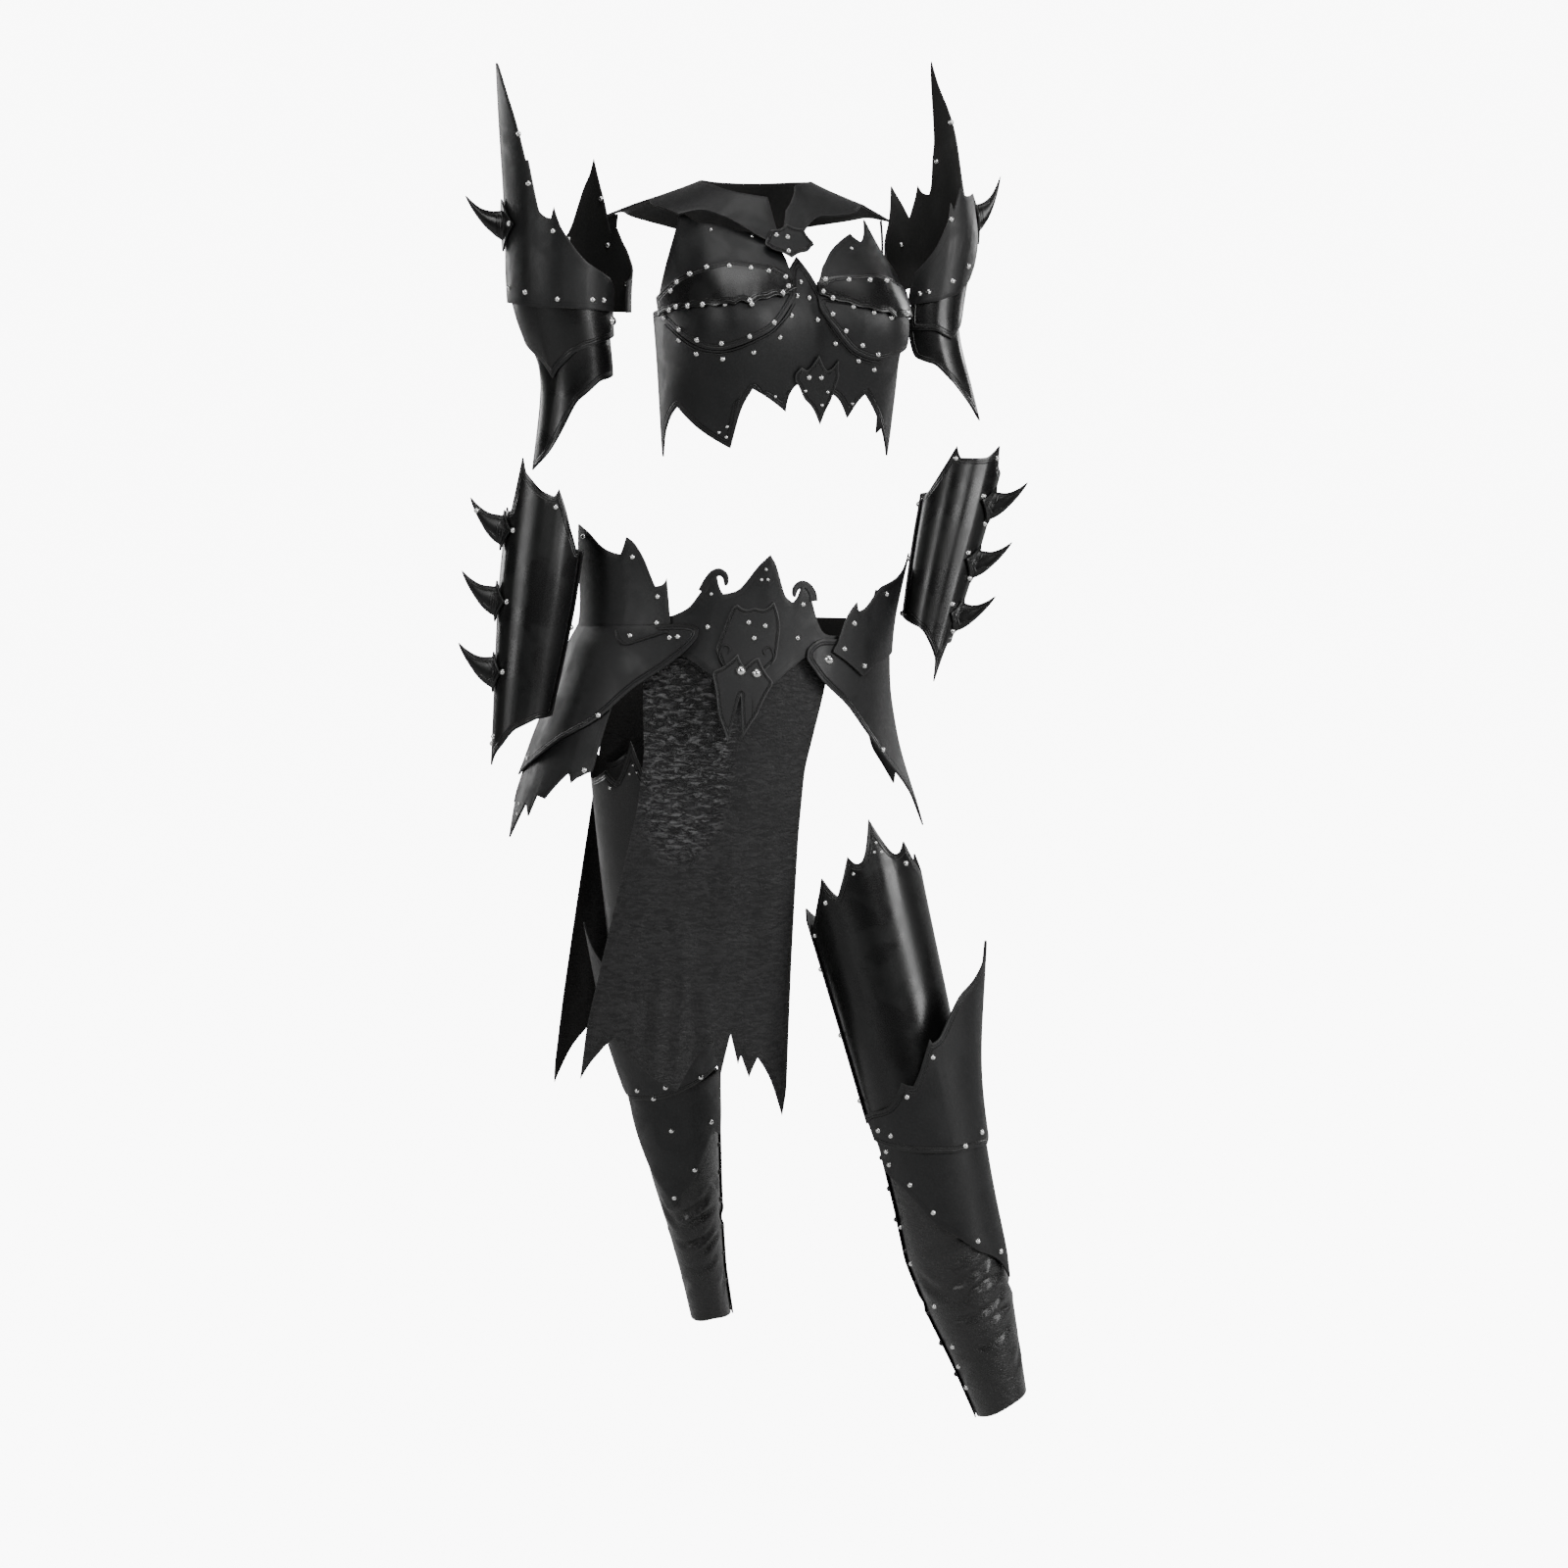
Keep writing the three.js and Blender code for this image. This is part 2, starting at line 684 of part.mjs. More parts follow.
// Shoulder guards: a spiked cap, a plate behind it, a lower lame and a cuff with a long tail
panel("shoulder_cap_r", upperArmR, {
  side: -1,
  rows: 5,
  step: 14,
  high: [
    { at: -53, up: 190 },
    { at: -43, up: 198, bite: 1 },
    { at: -8.6, up: 212, bite: 3 },
    { at: 15.8, up: 241, bite: 2 },
    { at: 23.7, up: 258 },
    { at: 26.6, up: 268 },
    { at: 29.2, up: 256 },
    { at: 34, up: 256 },
    { at: 42, up: 263 },
    { at: 49, up: 300 },
    { at: 52, up: 316 },
    { at: 55, up: 316 },
    { at: 64, up: 356, bite: 1 },
    { at: 86, up: 418 },
    { at: 90, up: 419, bite: 4 },
    { at: 104, up: 330, bite: 5 },
    { at: 128, up: 262, bite: 3 },
    { at: 150, up: 238 },
  ],
  low: [
    { at: -53, up: 163 },
    { at: -11, up: 163 },
    { at: 40, up: 163 },
    { at: 90, up: 168 },
    { at: 150, up: 172 },
  ],
});
panel("shoulder_back_r", upperArmR, {
  side: -1,
  out: -LAYER,
  rows: 3,
  step: 15,
  lift: (at) => 20 * Math.exp(-(((at - 292) / 24) ** 2)),
  high: [
    { at: 139, up: 226 },
    { at: 180, up: 232, bite: 2 },
    { at: 203, up: 248, bite: 3 },
    { at: 216, up: 303, bite: 2 },
    { at: 219, up: 296, bite: 1 },
    { at: 224, up: 332, bite: 4 },
    { at: 243, up: 282, bite: 4 },
    { at: 256, up: 250 },
    { at: 262, up: 256, bite: 2 },
    { at: 276, up: 232, bite: 2 },
    { at: 286, up: 214, bite: 2 },
    { at: 303, up: 196 },
  ],
  low: [
    { at: 139, up: 174 },
    { at: 303, up: 162 },
  ],
});
panel("shoulder_lame_r", upperArmR, {
  side: -1,
  out: -LAYER - 0.9,
  rows: 2,
  step: 14,
  high: [
    { at: -72, up: 176 },
    { at: 130, up: 182 },
  ],
  low: [
    { at: -72, up: 139, bite: 1 },
    { at: -2, up: 123, bite: 2 },
    { at: 36, up: 105, bite: 2 },
    { at: 55, up: 89, bite: 3 },
    { at: 80, up: 112, bite: 2 },
    { at: 130, up: 132 },
  ],
});
panel("shoulder_cuff_r", upperArmR, {
  side: -1,
  out: -2 * LAYER - 2,
  rows: 3,
  thick: 2,
  step: 14,
  high: [
    { at: -80, up: 146 },
    { at: -2, up: 132 },
    { at: 55, up: 100 },
    { at: 100, up: 126 },
    { at: 150, up: 142 },
  ],
  low: [
    { at: -80, up: 98 },
    { at: -21, up: 88, bite: -1 },
    { at: 16, up: 65, bite: -2 },
    { at: 43, up: 15, bite: -2 },
    { at: 72, up: -4 },
    { at: 84, up: -9, bite: 18 },
    { at: 110, up: 84, bite: 3 },
    { at: 150, up: 106 },
  ],
});
panel("shoulder_strap_r", upperArmR, {
  side: -1,
  out: 0,
  rows: 3,
  lift: (at, up) => 20 * Math.exp(-(((at - 292) / 24) ** 2)),
  high: [
    { at: 243, up: 271.6 },
    { at: 258, up: 271.6 },
  ],
  low: [
    { at: 243, up: 205 },
    { at: 258, up: 205 },
  ],
});
panel("shoulder_cap_l", upperArmL, {
  rows: 4,
  step: 11,
  high: [
    { at: -42, up: 188, bite: 1 },
    { at: -24, up: 205, bite: 1 },
    { at: -13.6, up: 220 },
    { at: 1, up: 244 },
    { at: 5.5, up: 261 },
    { at: 8.4, up: 252, bite: 1 },
    { at: 22.4, up: 277, bite: 1 },
    { at: 29.6, up: 267, bite: 1 },
    { at: 60, up: 272 },
    { at: 92, up: 268 },
  ],
  low: [
    { at: -42, up: 157 },
    { at: -3, up: 157 },
    { at: 23, up: 162 },
    { at: 48, up: 176 },
    { at: 60, up: 192 },
    { at: 92, up: 204 },
  ],
});
panel("shoulder_back_l", upperArmL, {
  out: -LAYER - 0.6,
  rows: 4,
  step: 15,
  high: [
    { at: 76, up: 250 },
    { at: 92, up: 266 },
    { at: 95, up: 300 },
    { at: 97, up: 344 },
    { at: 107, up: 372 },
    { at: 119, up: 403 },
    { at: 123.5, up: 430 },
    { at: 126, up: 421 },
    { at: 127.5, up: 346 },
    { at: 131.5, up: 343, bite: 1 },
    { at: 138, up: 321 },
    { at: 143, up: 292 },
    { at: 148, up: 284 },
    { at: 155, up: 286, bite: 1 },
    { at: 161, up: 297, bite: 2 },
    { at: 169, up: 278 },
    { at: 178, up: 261 },
    { at: 187, up: 280, bite: 1 },
    { at: 199, up: 299, bite: 3 },
    { at: 212, up: 262, bite: 3 },
    { at: 240, up: 236, bite: 2 },
    { at: 290, up: 196 },
  ],
  low: [
    { at: 76, up: 206 },
    { at: 110, up: 196 },
    { at: 180, up: 182 },
    { at: 290, up: 162 },
  ],
});
panel("shoulder_lame_l", upperArmL, {
  out: -LAYER - 0.8,
  rows: 3,
  high: [
    { at: -40, up: 170 },
    { at: 0, up: 170 },
    { at: 25, up: 176 },
    { at: 50, up: 190 },
    { at: 75, up: 210 },
  ],
  low: [
        { at: -40, up: 131 },
    { at: -4.6, up: 126, bite: -1 },
    { at: 23, up: 114, bite: 1 },
    { at: 50, up: 128, bite: 2 },
    { at: 75, up: 150 },
  ],
});
panel("shoulder_cuff_l", upperArmL, {
  out: -2 * LAYER - 1.6,
  rows: 3,
  thick: 2,
  step: 14,
  high: [
        { at: -46, up: 144 },
    { at: 0, up: 138 },
    { at: 23, up: 126 },
    { at: 50, up: 138 },
    { at: 110, up: 158 },
  ],
  low: [
        { at: -46, up: 100, bite: -1 },
    { at: -15.6, up: 88, bite: -1 },
    { at: 2.6, up: 66, bite: -1 },
    { at: 23, up: 38 },
    { at: 33, up: 22 },
    { at: 36, up: 22, bite: 8 },
    { at: 56, up: 96, bite: 3 },
    { at: 110, up: 122 },
  ],
});
panel("shoulder_strap_l", upperArmL, {
  out: -0.5,
  thick: 2,
  rows: 3,
  high: [
    { at: 240, up: 258.5 },
    { at: 258, up: 258.5 },
  ],
  low: [
    { at: 240, up: 200 },
    { at: 258, up: 200 },
  ],
});

// Bracers: a wrap round the forearm, overlapped at the back, with peaks at the elbow
const wrapLift = (start, end) => (at) => (LAYER * (at - start)) / (end - start - 18);
panel("bracer_r", forearmR, {
  side: -1,
  rows: 3,
  step: 16,
  kind: "polished",
  lift: wrapLift(-100, 278),
  high: [
    { at: -100, up: 226 },
    { at: -65, up: 224 },
    { at: -44, up: 246 },
    { at: -31, up: 268 },
    { at: -18, up: 286, bite: 2 },
    { at: -12, up: 277, bite: 1 },
    { at: 10, up: 283 },
    { at: 37, up: 300 },
    { at: 45.5, up: 315, bite: 4 },
    { at: 57, up: 258, bite: 3 },
    { at: 90, up: 262, bite: 3 },
    { at: 140, up: 248, bite: 2 },
    { at: 210, up: 232, bite: 2 },
    { at: 278, up: 226 },
  ],
  low: [
    { at: -100, up: 48 },
    { at: -36, up: 39 },
    { at: 7.4, up: 25, bite: 1 },
    { at: 34, up: 8 },
    { at: 62, up: -5 },
    { at: 84, up: -16, bite: 3 },
    { at: 110, up: 4 },
    { at: 160, up: 34 },
    { at: 278, up: 48 },
  ],
});
panel("bracer_l", forearmL, {
  rows: 3,
  step: 16,
  kind: "polished",
  lift: wrapLift(-100, 278),
  high: [
    { at: -100, up: 150 },
    { at: -90, up: 153, bite: 2 },
    { at: -60, up: 160 },
    { at: -45, up: 176 },
    { at: -32, up: 196 },
    { at: -22.7, up: 213, bite: 2 },
    { at: -12, up: 200, bite: 1 },
    { at: 30, up: 208, bite: 1 },
    { at: 51, up: 227, bite: 3 },
    { at: 62, up: 204, bite: 3 },
    { at: 110, up: 206, bite: 3 },
    { at: 200, up: 182, bite: 3 },
    { at: 278, up: 158 },
  ],
  low: [
    { at: -100, up: 22 },
    { at: -70, up: 20 },
    { at: -11.7, up: 2 },
    { at: 14, up: -12 },
    { at: 34, up: -24 },
    { at: 46.6, up: -48, bite: 6 },
    { at: 60, up: -2 },
    { at: 150, up: 14 },
    { at: 278, up: 22 },
  ],
});

// Horns: each on its own diamond flange
const bracerHorn = { long: 22, wide: 26, root: { long: 17, thick: 7 }, kind: "polished" };
for (const [i, up] of [236, 160, 84].entries()) {
  const place = { side: -1, across: 72, up, out: LAYER + 2.1 };
  horn(`horn_r_${i + 1}`, forearmR, { ...bracerHorn, ...place, reach: 42, rise: 36 });
}
for (const [i, up] of [160, 92, 30].entries()) {
  const place = { side: 1, across: 62, up, out: LAYER + 2.1 };
  horn(`horn_l_${i + 1}`, forearmL, { ...bracerHorn, ...place, reach: 38, rise: 38 });
}
const shoulderHorn = { long: 28, wide: 24, root: { long: 16, thick: 8 }, kind: "polished" };
horn("shoulder_horn_r", upperArmR, {
  ...shoulderHorn,
  ...{ side: -1, across: 94, up: 250, out: LAYER + 1.2, reach: 42, rise: 38 },
});
horn("shoulder_horn_l", upperArmL, {
  ...shoulderHorn,
  ...{ side: 1, across: 86, up: 246, out: LAYER + 1, reach: 40, rise: 52 },
});

// Belt: a flame-edged front plate and a plain band round the back
panel("belt_front", hips, {
  rows: 3,
  step: 6,
  high: [
    { at: -50, up: 1012 },
    { at: -33.4, up: 1015 },
    { at: -27, up: 1023, bite: 2 },
    { at: -22.3, up: 1040, bite: 1 },
    { at: -18.8, up: 1055 },
    { at: -16.4, up: 1062, lean: 1 },
    { at: -15.2, up: 1047 },
    { at: -13.6, up: 1040 },
    { at: -9, up: 1042, bite: 1 },
    { at: -4.9, up: 1056 },
    { at: -1.8, up: 1070 },
    { at: 2.4, up: 1082 },
    { at: 3.2, up: 1077 },
    { at: 4.5, up: 1073 },
    { at: 5.1, up: 1057 },
    { at: 9.3, up: 1035 },
    { at: 12, up: 1030 },
    { at: 13.9, up: 1036 },
    { at: 15.6, up: 1050, lean: -1 },
    { at: 18.2, up: 1040 },
    { at: 22.6, up: 1011, bite: 2 },
    { at: 27, up: 994 },
    { at: 42, up: 990 },
  ],
  low: [
    { at: -50, up: 984 },
    { at: -24.7, up: 973, bite: 2 },
    { at: -9, up: 942 },
    { at: 0, up: 932 },
    { at: 8, up: 942, bite: 2 },
    { at: 20, up: 972 },
    { at: 42, up: 968 },
  ],
});
panel("belt_back", hips, {
  out: -LAYER - 0.3,
  rows: 1,
  high: [
    { at: 46, up: 988 },
    { at: 100, up: 1002 },
    { at: 260, up: 1002 },
    { at: 314, up: 988 },
  ],
  low: [
    { at: 46, up: 972 },
    { at: 314, up: 972 },
  ],
});
panel("hip_plate_r", hips, {
  side: -1,
  out: LAYER,
  rows: 3,
  step: 8,
  high: [
    { at: 32, up: 1002 },
    { at: 32.8, up: 1044 },
    { at: 34.3, up: 1057 },
    { at: 35.6, up: 1049 },
    { at: 39, up: 1048, bite: 2 },
    { at: 43, up: 1077 },
    { at: 46.4, up: 1093, bite: -1 },
    { at: 50.4, up: 1101, bite: 2 },
    { at: 54, up: 1082 },
    { at: 61, up: 1085, bite: 2 },
    { at: 72, up: 1105 },
    { at: 82, up: 1113, bite: 5 },
    { at: 92, up: 1072, bite: 4 },
    { at: 112, up: 1046 },
  ],
  low: [
    { at: 32, up: 990 },
    { at: 112, up: 982 },
  ],
});
panel("hip_plate_l", hips, {
  out: 2 * LAYER + 0.8,
  rows: 3,
  step: 8,
  high: [
    { at: 30, up: 978 },
    { at: 32, up: 987, bite: 1 },
    { at: 35, up: 1016 },
    { at: 38.7, up: 1029, bite: 2 },
    { at: 40.4, up: 1019 },
    { at: 43.7, up: 1021, bite: 1 },
    { at: 50.7, up: 1045 },
    { at: 60.3, up: 1051, bite: 1 },
    { at: 72, up: 1063 },
    { at: 81, up: 1080, bite: 5 },
    { at: 93, up: 1046, bite: 3 },
    { at: 112, up: 1036 },
  ],
  low: [
    { at: 30, up: 975, bite: 1 },
    { at: 45.4, up: 947, bite: 3 },
    { at: 61, up: 963, bite: 2 },
    { at: 112, up: 976 },
  ],
});
panel("tasset_r", hips, {
  side: -1,
  out: 2 * LAYER + 1.8,
  rows: 3,
  step: 9,
  high: [
    { at: 21.5, up: 1001 },
    { at: 24, up: 1006, bite: -1 },
    { at: 36, up: 1006 },
    { at: 79, up: 1003 },
    { at: 112, up: 1003 },
  ],
  low: [
    { at: 21.5, up: 992 },
    { at: 24.3, up: 977, bite: -2 },
    { at: 39.4, up: 940, bite: 2 },
    { at: 49.8, up: 903, bite: -1 },
    { at: 65.6, up: 878, bite: -1 },
    { at: 78, up: 854, bite: -1 },
    { at: 96, up: 832, bite: 3 },
    { at: 112, up: 858 },
  ],
});
panel("tasset_flare_r", hips, {
  side: -1,
  out: LAYER + 1,
  rows: 2,
  step: 9,
  high: [
    { at: 47, up: 918 },
    { at: 65, up: 892 },
    { at: 78, up: 868 },
    { at: 96, up: 846 },
    { at: 112, up: 872 },
  ],
  low: [
    { at: 47, up: 849, bite: 1 },
    { at: 51, up: 843, bite: 2 },
    { at: 54.5, up: 835, bite: 3 },
    { at: 57, up: 845, bite: 2 },
    { at: 65.8, up: 812, bite: 2 },
    { at: 70, up: 818 },
    { at: 72, up: 795, bite: 1 },
    { at: 76, up: 808 },
    { at: 83, up: 768, bite: 5 },
    { at: 94, up: 822, bite: 2 },
    { at: 102, up: 800, bite: 6 },
    { at: 112, up: 846 },
  ],
});
panel("tasset_l", hips, {
  out: LAYER,
  rows: 3,
  lift: (at, up) => Math.max(0, 910 - up) * 0.12,
  step: 9,
  high: [
    { at: 19.6, up: 980 },
    { at: 23.3, up: 989, bite: -1 },
    { at: 31, up: 989 },
    { at: 112, up: 996 },
  ],
  low: [
    { at: 19.8, up: 968 },
    { at: 25.9, up: 947, bite: -1 },
    { at: 38.6, up: 918, bite: 1 },
    { at: 58, up: 847, bite: 2 },
    { at: 70, up: 814, bite: 1 },
    { at: 76, up: 787, bite: 1 },
    { at: 79, up: 797 },
    { at: 84, up: 767, bite: 8 },
    { at: 97, up: 832, bite: 2 },
    { at: 104, up: 808, bite: 5 },
    { at: 112, up: 850 },
  ],
});
// Belt plaques: a bossed shield above and a forked point below
panel("plaque_upper", hips, {
  out: LAYER,
  rows: 4,
  step: 5,
  scallop: 4,
  high: [
    { at: -14, up: 984, bite: 1 },
    { at: -12.5, up: 1004, bite: -3 },
    { at: -9, up: 1031, bite: 6 },
    { at: -2, up: 1026, bite: 6 },
    { at: 4.6, up: 1031, bite: -3 },
    { at: 8, up: 1004, bite: 1 },
    { at: 9.4, up: 984 },
  ],
  low: [
    { at: -14, up: 980 },
    { at: -12, up: 966, bite: 2 },
    { at: -7, up: 948 },
    { at: -2.3, up: 938 },
    { at: 2.4, up: 948, bite: 2 },
    { at: 7.4, up: 966 },
    { at: 9.4, up: 980 },
  ],
});
panel("plaque_lower", hips, {
  out: 2 * LAYER,
  rows: 3,
  step: 5,
  scallop: 4,
  high: [
    { at: -13.2, up: 957, bite: 3 },
    { at: -6.1, up: 975, bite: 2 },
    { at: -2.8, up: 961, bite: 2 },
    { at: 0.6, up: 975, bite: 3 },
    { at: 7.4, up: 946 },
  ],
  low: [
    { at: -13.2, up: 952, bite: 4 },
    { at: -9, up: 911, bite: 2 },
    { at: -4.6, up: 882 },
    { at: -4.3, up: 908 },
    { at: -2.6, up: 936, bite: 2 },
    { at: -1.2, up: 908 },
    { at: -0.9, up: 882, bite: 2 },
    { at: 3.6, up: 911, bite: 4 },
    { at: 7.4, up: 941 },
  ],
});

// The two long cloths of garment leather, ragged at the hem
const apronDraw = through(
  [
    { up: 440, draw: 1 },
    { up: 540, draw: 0.94 },
    { up: 640, draw: 0.86 },
    { up: 750, draw: 0.79 },
    { up: 840, draw: 0.76 },
    { up: 900, draw: 0.84 },
    { up: 955, draw: 0.98 },
    { up: 1000, draw: 1 },
  ],
  "up",
  "draw",
);
const folds = (deep, count, hang) => (at, up) =>
  deep * Math.sin((at * count * Math.PI) / 36) * THREE.MathUtils.smoothstep(950 - up, 0, 420) +
  hang * THREE.MathUtils.smoothstep(up, 930, 985);
panel("loincloth_front", apron, {
  thick: SOFT_LEATHER,
  out: -2 * LAYER - 1,
  rows: 7,
  step: 8,
  scallop: 2,
  lift: folds(2.5, 4, 6.3),
  draw: apronDraw,
  kind: "grained",
  high: [
    { at: -33, up: 992 },
    { at: 33, up: 992 },
  ],
  low: [
    { at: -42, up: 566 },
    { at: -40.5, up: 508, bite: 4 },
    { at: -34.9, up: 538, bite: 3 },
    { at: -30, up: 556 },
    { at: -27, up: 545, bite: -4 },
    { at: -6, up: 494, bite: 6 },
    { at: 3.3, up: 553 },
    { at: 7.8, up: 508, bite: 2 },
    { at: 10.4, up: 556 },
    { at: 14, up: 521, bite: 2 },
    { at: 15.6, up: 538 },
    { at: 18, up: 506, bite: 2 },
    { at: 20.5, up: 528, bite: 1 },
    { at: 26, up: 502, bite: 2 },
    { at: 31.6, up: 458 },
    { at: 33, up: 486 },
    { at: 33.5, up: 560 },
  ],
});
panel("loincloth_back", train, {
  thick: SOFT_LEATHER,
  out: -2 * LAYER - 1,
  rows: 6,
  step: 9,
  scallop: 2,
  lift: folds(4, 4, 3.6),
  kind: "grained",
  high: [
    { at: 142, up: 992 },
    { at: 222, up: 992 },
  ],
  low: [
    { at: 142, up: 540 },
    { at: 147, up: 478, bite: 3 },
    { at: 152, up: 530, bite: 2 },
    { at: 158, up: 500, bite: 3 },
    { at: 165, up: 538, bite: 2 },
    { at: 172, up: 492, bite: 3 },
    { at: 180, up: 532 },
    { at: 188, up: 474, bite: 3 },
    { at: 195, up: 536, bite: 2 },
    { at: 203, up: 502, bite: 2 },
    { at: 209, up: 530, bite: 3 },
    { at: 217, up: 500 },
    { at: 223, up: 456 },
    { at: 224, up: 474 },
  ],
});

// Thigh cuffs: wraps with a flame edge above
panel("thigh_cuff_l", thighL, {
  out: LAYER,
  rows: 3,
  step: 14,
  kind: "polished",
  lift: wrapLift(-112, 266),
  high: [
    { at: -112, up: 262 },
    { at: -102, up: 251 },
    { at: -78, up: 260 },
    { at: -61, up: 282, bite: 2 },
    { at: -48.8, up: 304, bite: 4 },
    { at: -37, up: 280, bite: 3 },
    { at: -18.4, up: 319, bite: 2 },
    { at: -12, up: 308, bite: 3 },
    { at: -3, up: 315, bite: 2 },
    { at: 8.5, up: 353, bite: 4 },
    { at: 23.7, up: 311, bite: 1 },
    { at: 32, up: 310, bite: 2 },
    { at: 42, up: 322, bite: 4 },
    { at: 58, up: 292 },
    { at: 73, up: 284, bite: 4 },
    { at: 94, up: 311, bite: 6 },
    { at: 120, up: 276, bite: 4 },
    { at: 160, up: 300, bite: 6 },
    { at: 205, up: 262, bite: 3 },
    { at: 240, up: 282, bite: 5 },
    { at: 266, up: 262 },
  ],
  low: [
    { at: -112, up: 34 },
    { at: 266, up: 34 },
  ],
});
panel("thigh_cuff_r", thighR, {
  side: -1,
  out: LAYER,
  rows: 3,
  step: 14,
  kind: "polished",
  lift: wrapLift(-112, 266),
  high: [
    { at: -112, up: 386, bite: 3 },
    { at: -90, up: 376, bite: 2 },
    { at: -66, up: 382, bite: 3 },
    { at: -48, up: 420, bite: 5 },
    { at: -30, up: 398, bite: 3 },
    { at: -14, up: 436, bite: 3 },
    { at: 0, up: 410, bite: 3 },
    { at: 13.9, up: 461, bite: 6 },
    { at: 32, up: 413, bite: 2 },
    { at: 44, up: 423, bite: 4 },
    { at: 84, up: 402, bite: 4 },
    { at: 106, up: 432, bite: 6 },
    { at: 135, up: 398, bite: 4 },
    { at: 170, up: 420, bite: 6 },
    { at: 215, up: 384, bite: 3 },
    { at: 245, up: 402, bite: 5 },
    { at: 266, up: 386 },
  ],
  low: [
    { at: -112, up: 52 },
    { at: 266, up: 52 },
  ],
});

// Knee plates: spurred above, standing out to a tall point at the outer side
function kneePlate(name, form, side, raise, flare) {
  const shift = (rows) => rows.map((row) => ({ ...row, up: row.up + raise }));
  panel(name, form, {
    side,
    out: 2 * LAYER - 0.8,
    rows: 5,
    step: 11,
    lift: (at, up) => {
      const outer = THREE.MathUtils.smoothstep(at, 20, 80);
      return 2 + flare * outer * THREE.MathUtils.smoothstep(up - raise, 330, 560);
    },
    high: shift([
      { at: -80, up: 352 },
      { at: -63, up: 356, bite: 1 },
      { at: -44, up: 358, bite: 2 },
      { at: -31, up: 370 },
      { at: -24, up: 382, bite: 1 },
      { at: -15, up: 375, bite: 3 },
      { at: 1, up: 404 },
      { at: 8.5, up: 420 },
      { at: 11, up: 411, bite: 2 },
      { at: 23, up: 426, bite: 1 },
      { at: 42, up: 456, bite: 2 },
      { at: 66, up: 478, bite: -2 },
      { at: 82, up: 502 },
      { at: 86, up: 502, bite: 4 },
      { at: 96, up: 440, bite: 5 },
      { at: 112, up: 352 },
    ]),
    low: shift([
      { at: -80, up: 322 },
      { at: -33, up: 305 },
      { at: 10, up: 292, bite: 1 },
      { at: 57, up: 286, bite: 1 },
      { at: 112, up: 304 },
    ]),
  });
}
kneePlate("knee_plate_l", calfL, 1, 0, 34);
kneePlate("knee_plate_r", calfR, -1, 14, 14);

// Shin plates, whose lower edge runs to a point at the outer side
panel("shin_plate_l", calfL, {
  out: LAYER + 1,
  rows: 3,
  step: 13,
  high: [
    { at: -82, up: 330 },
    { at: -20, up: 304 },
    { at: 96, up: 298 },
  ],
  low: [
    { at: -82, up: 285, bite: 2 },
    { at: -49.5, up: 258, bite: 3 },
    { at: -28.4, up: 223, bite: 3 },
    { at: 13.4, up: 180, bite: 2 },
    { at: 42, up: 159, bite: 1 },
    { at: 55, up: 138, bite: 4 },
    { at: 70, up: 166, bite: 3 },
    { at: 96, up: 238 },
  ],
});
panel("shin_plate_r", calfR, {
  side: -1,
  out: LAYER + 0.6,
  rows: 3,
  step: 13,
  high: [
    { at: -78, up: 316 },
    { at: 96, up: 312 },
  ],
  low: [
    { at: -78, up: 258, bite: 1 },
    { at: -72, up: 233, bite: 3 },
    { at: -48.6, up: 246, bite: 2 },
    { at: -15, up: 196, bite: 2 },
    { at: 23.6, up: 164, bite: 3 },
    { at: 54, up: 206, bite: 3 },
    { at: 96, up: 290 },
  ],
});

// Soft leggings, wrapped and closed behind
const legWrap = (at) => 0.85 * wrapLift(-112, 266)(at) - 0.4;
panel("legging_l", calfL, {
  thick: SOFT_LEATHER,
  rows: 5,
  step: 21,
  kind: "soft",
  lift: legWrap,
  high: [
    { at: -112, up: 302 },
    { at: 266, up: 302 },
  ],
  low: [
    { at: -112, up: -6 },
    { at: -40, up: -2 },
    { at: 12, up: 6 },
    { at: 72, up: 10 },
    { at: 140, up: 8 },
    { at: 266, up: -6 },
  ],
});
panel("legging_r", calfR, {
  side: -1,
  thick: SOFT_LEATHER,
  rows: 5,
  step: 21,
  kind: "soft",
  lift: legWrap,
  high: [
    { at: -112, up: 302 },
    { at: 266, up: 302 },
  ],
  low: [
    { at: -112, up: 0 },
    { at: -10, up: 13 },
    { at: 51, up: 9 },
    { at: 266, up: 0 },
  ],
});

for (const mesh of set.children) {
  mesh.geometry.translate(-NECK.x, -NECK.y, -NECK.z);
  mesh.geometry.computeVertexNormals();
}

export default set;
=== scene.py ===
import math

import bmesh
import bpy
from mathutils import Matrix, Vector
from mathutils.bvhtree import BVHTree
from mathutils.kdtree import KDTree


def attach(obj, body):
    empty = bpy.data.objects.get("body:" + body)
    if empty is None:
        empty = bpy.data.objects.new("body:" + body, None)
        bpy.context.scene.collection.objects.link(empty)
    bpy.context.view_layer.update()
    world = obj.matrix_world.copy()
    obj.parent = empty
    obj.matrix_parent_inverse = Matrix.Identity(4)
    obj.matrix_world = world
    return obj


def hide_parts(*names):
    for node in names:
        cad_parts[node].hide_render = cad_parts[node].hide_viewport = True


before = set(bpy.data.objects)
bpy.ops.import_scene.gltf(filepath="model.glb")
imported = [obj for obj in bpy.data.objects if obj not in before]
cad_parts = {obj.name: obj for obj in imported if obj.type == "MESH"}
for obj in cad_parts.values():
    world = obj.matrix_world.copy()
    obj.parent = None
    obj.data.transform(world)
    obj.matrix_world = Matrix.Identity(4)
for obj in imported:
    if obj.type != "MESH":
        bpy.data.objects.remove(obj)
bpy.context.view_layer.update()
MM = 0.001

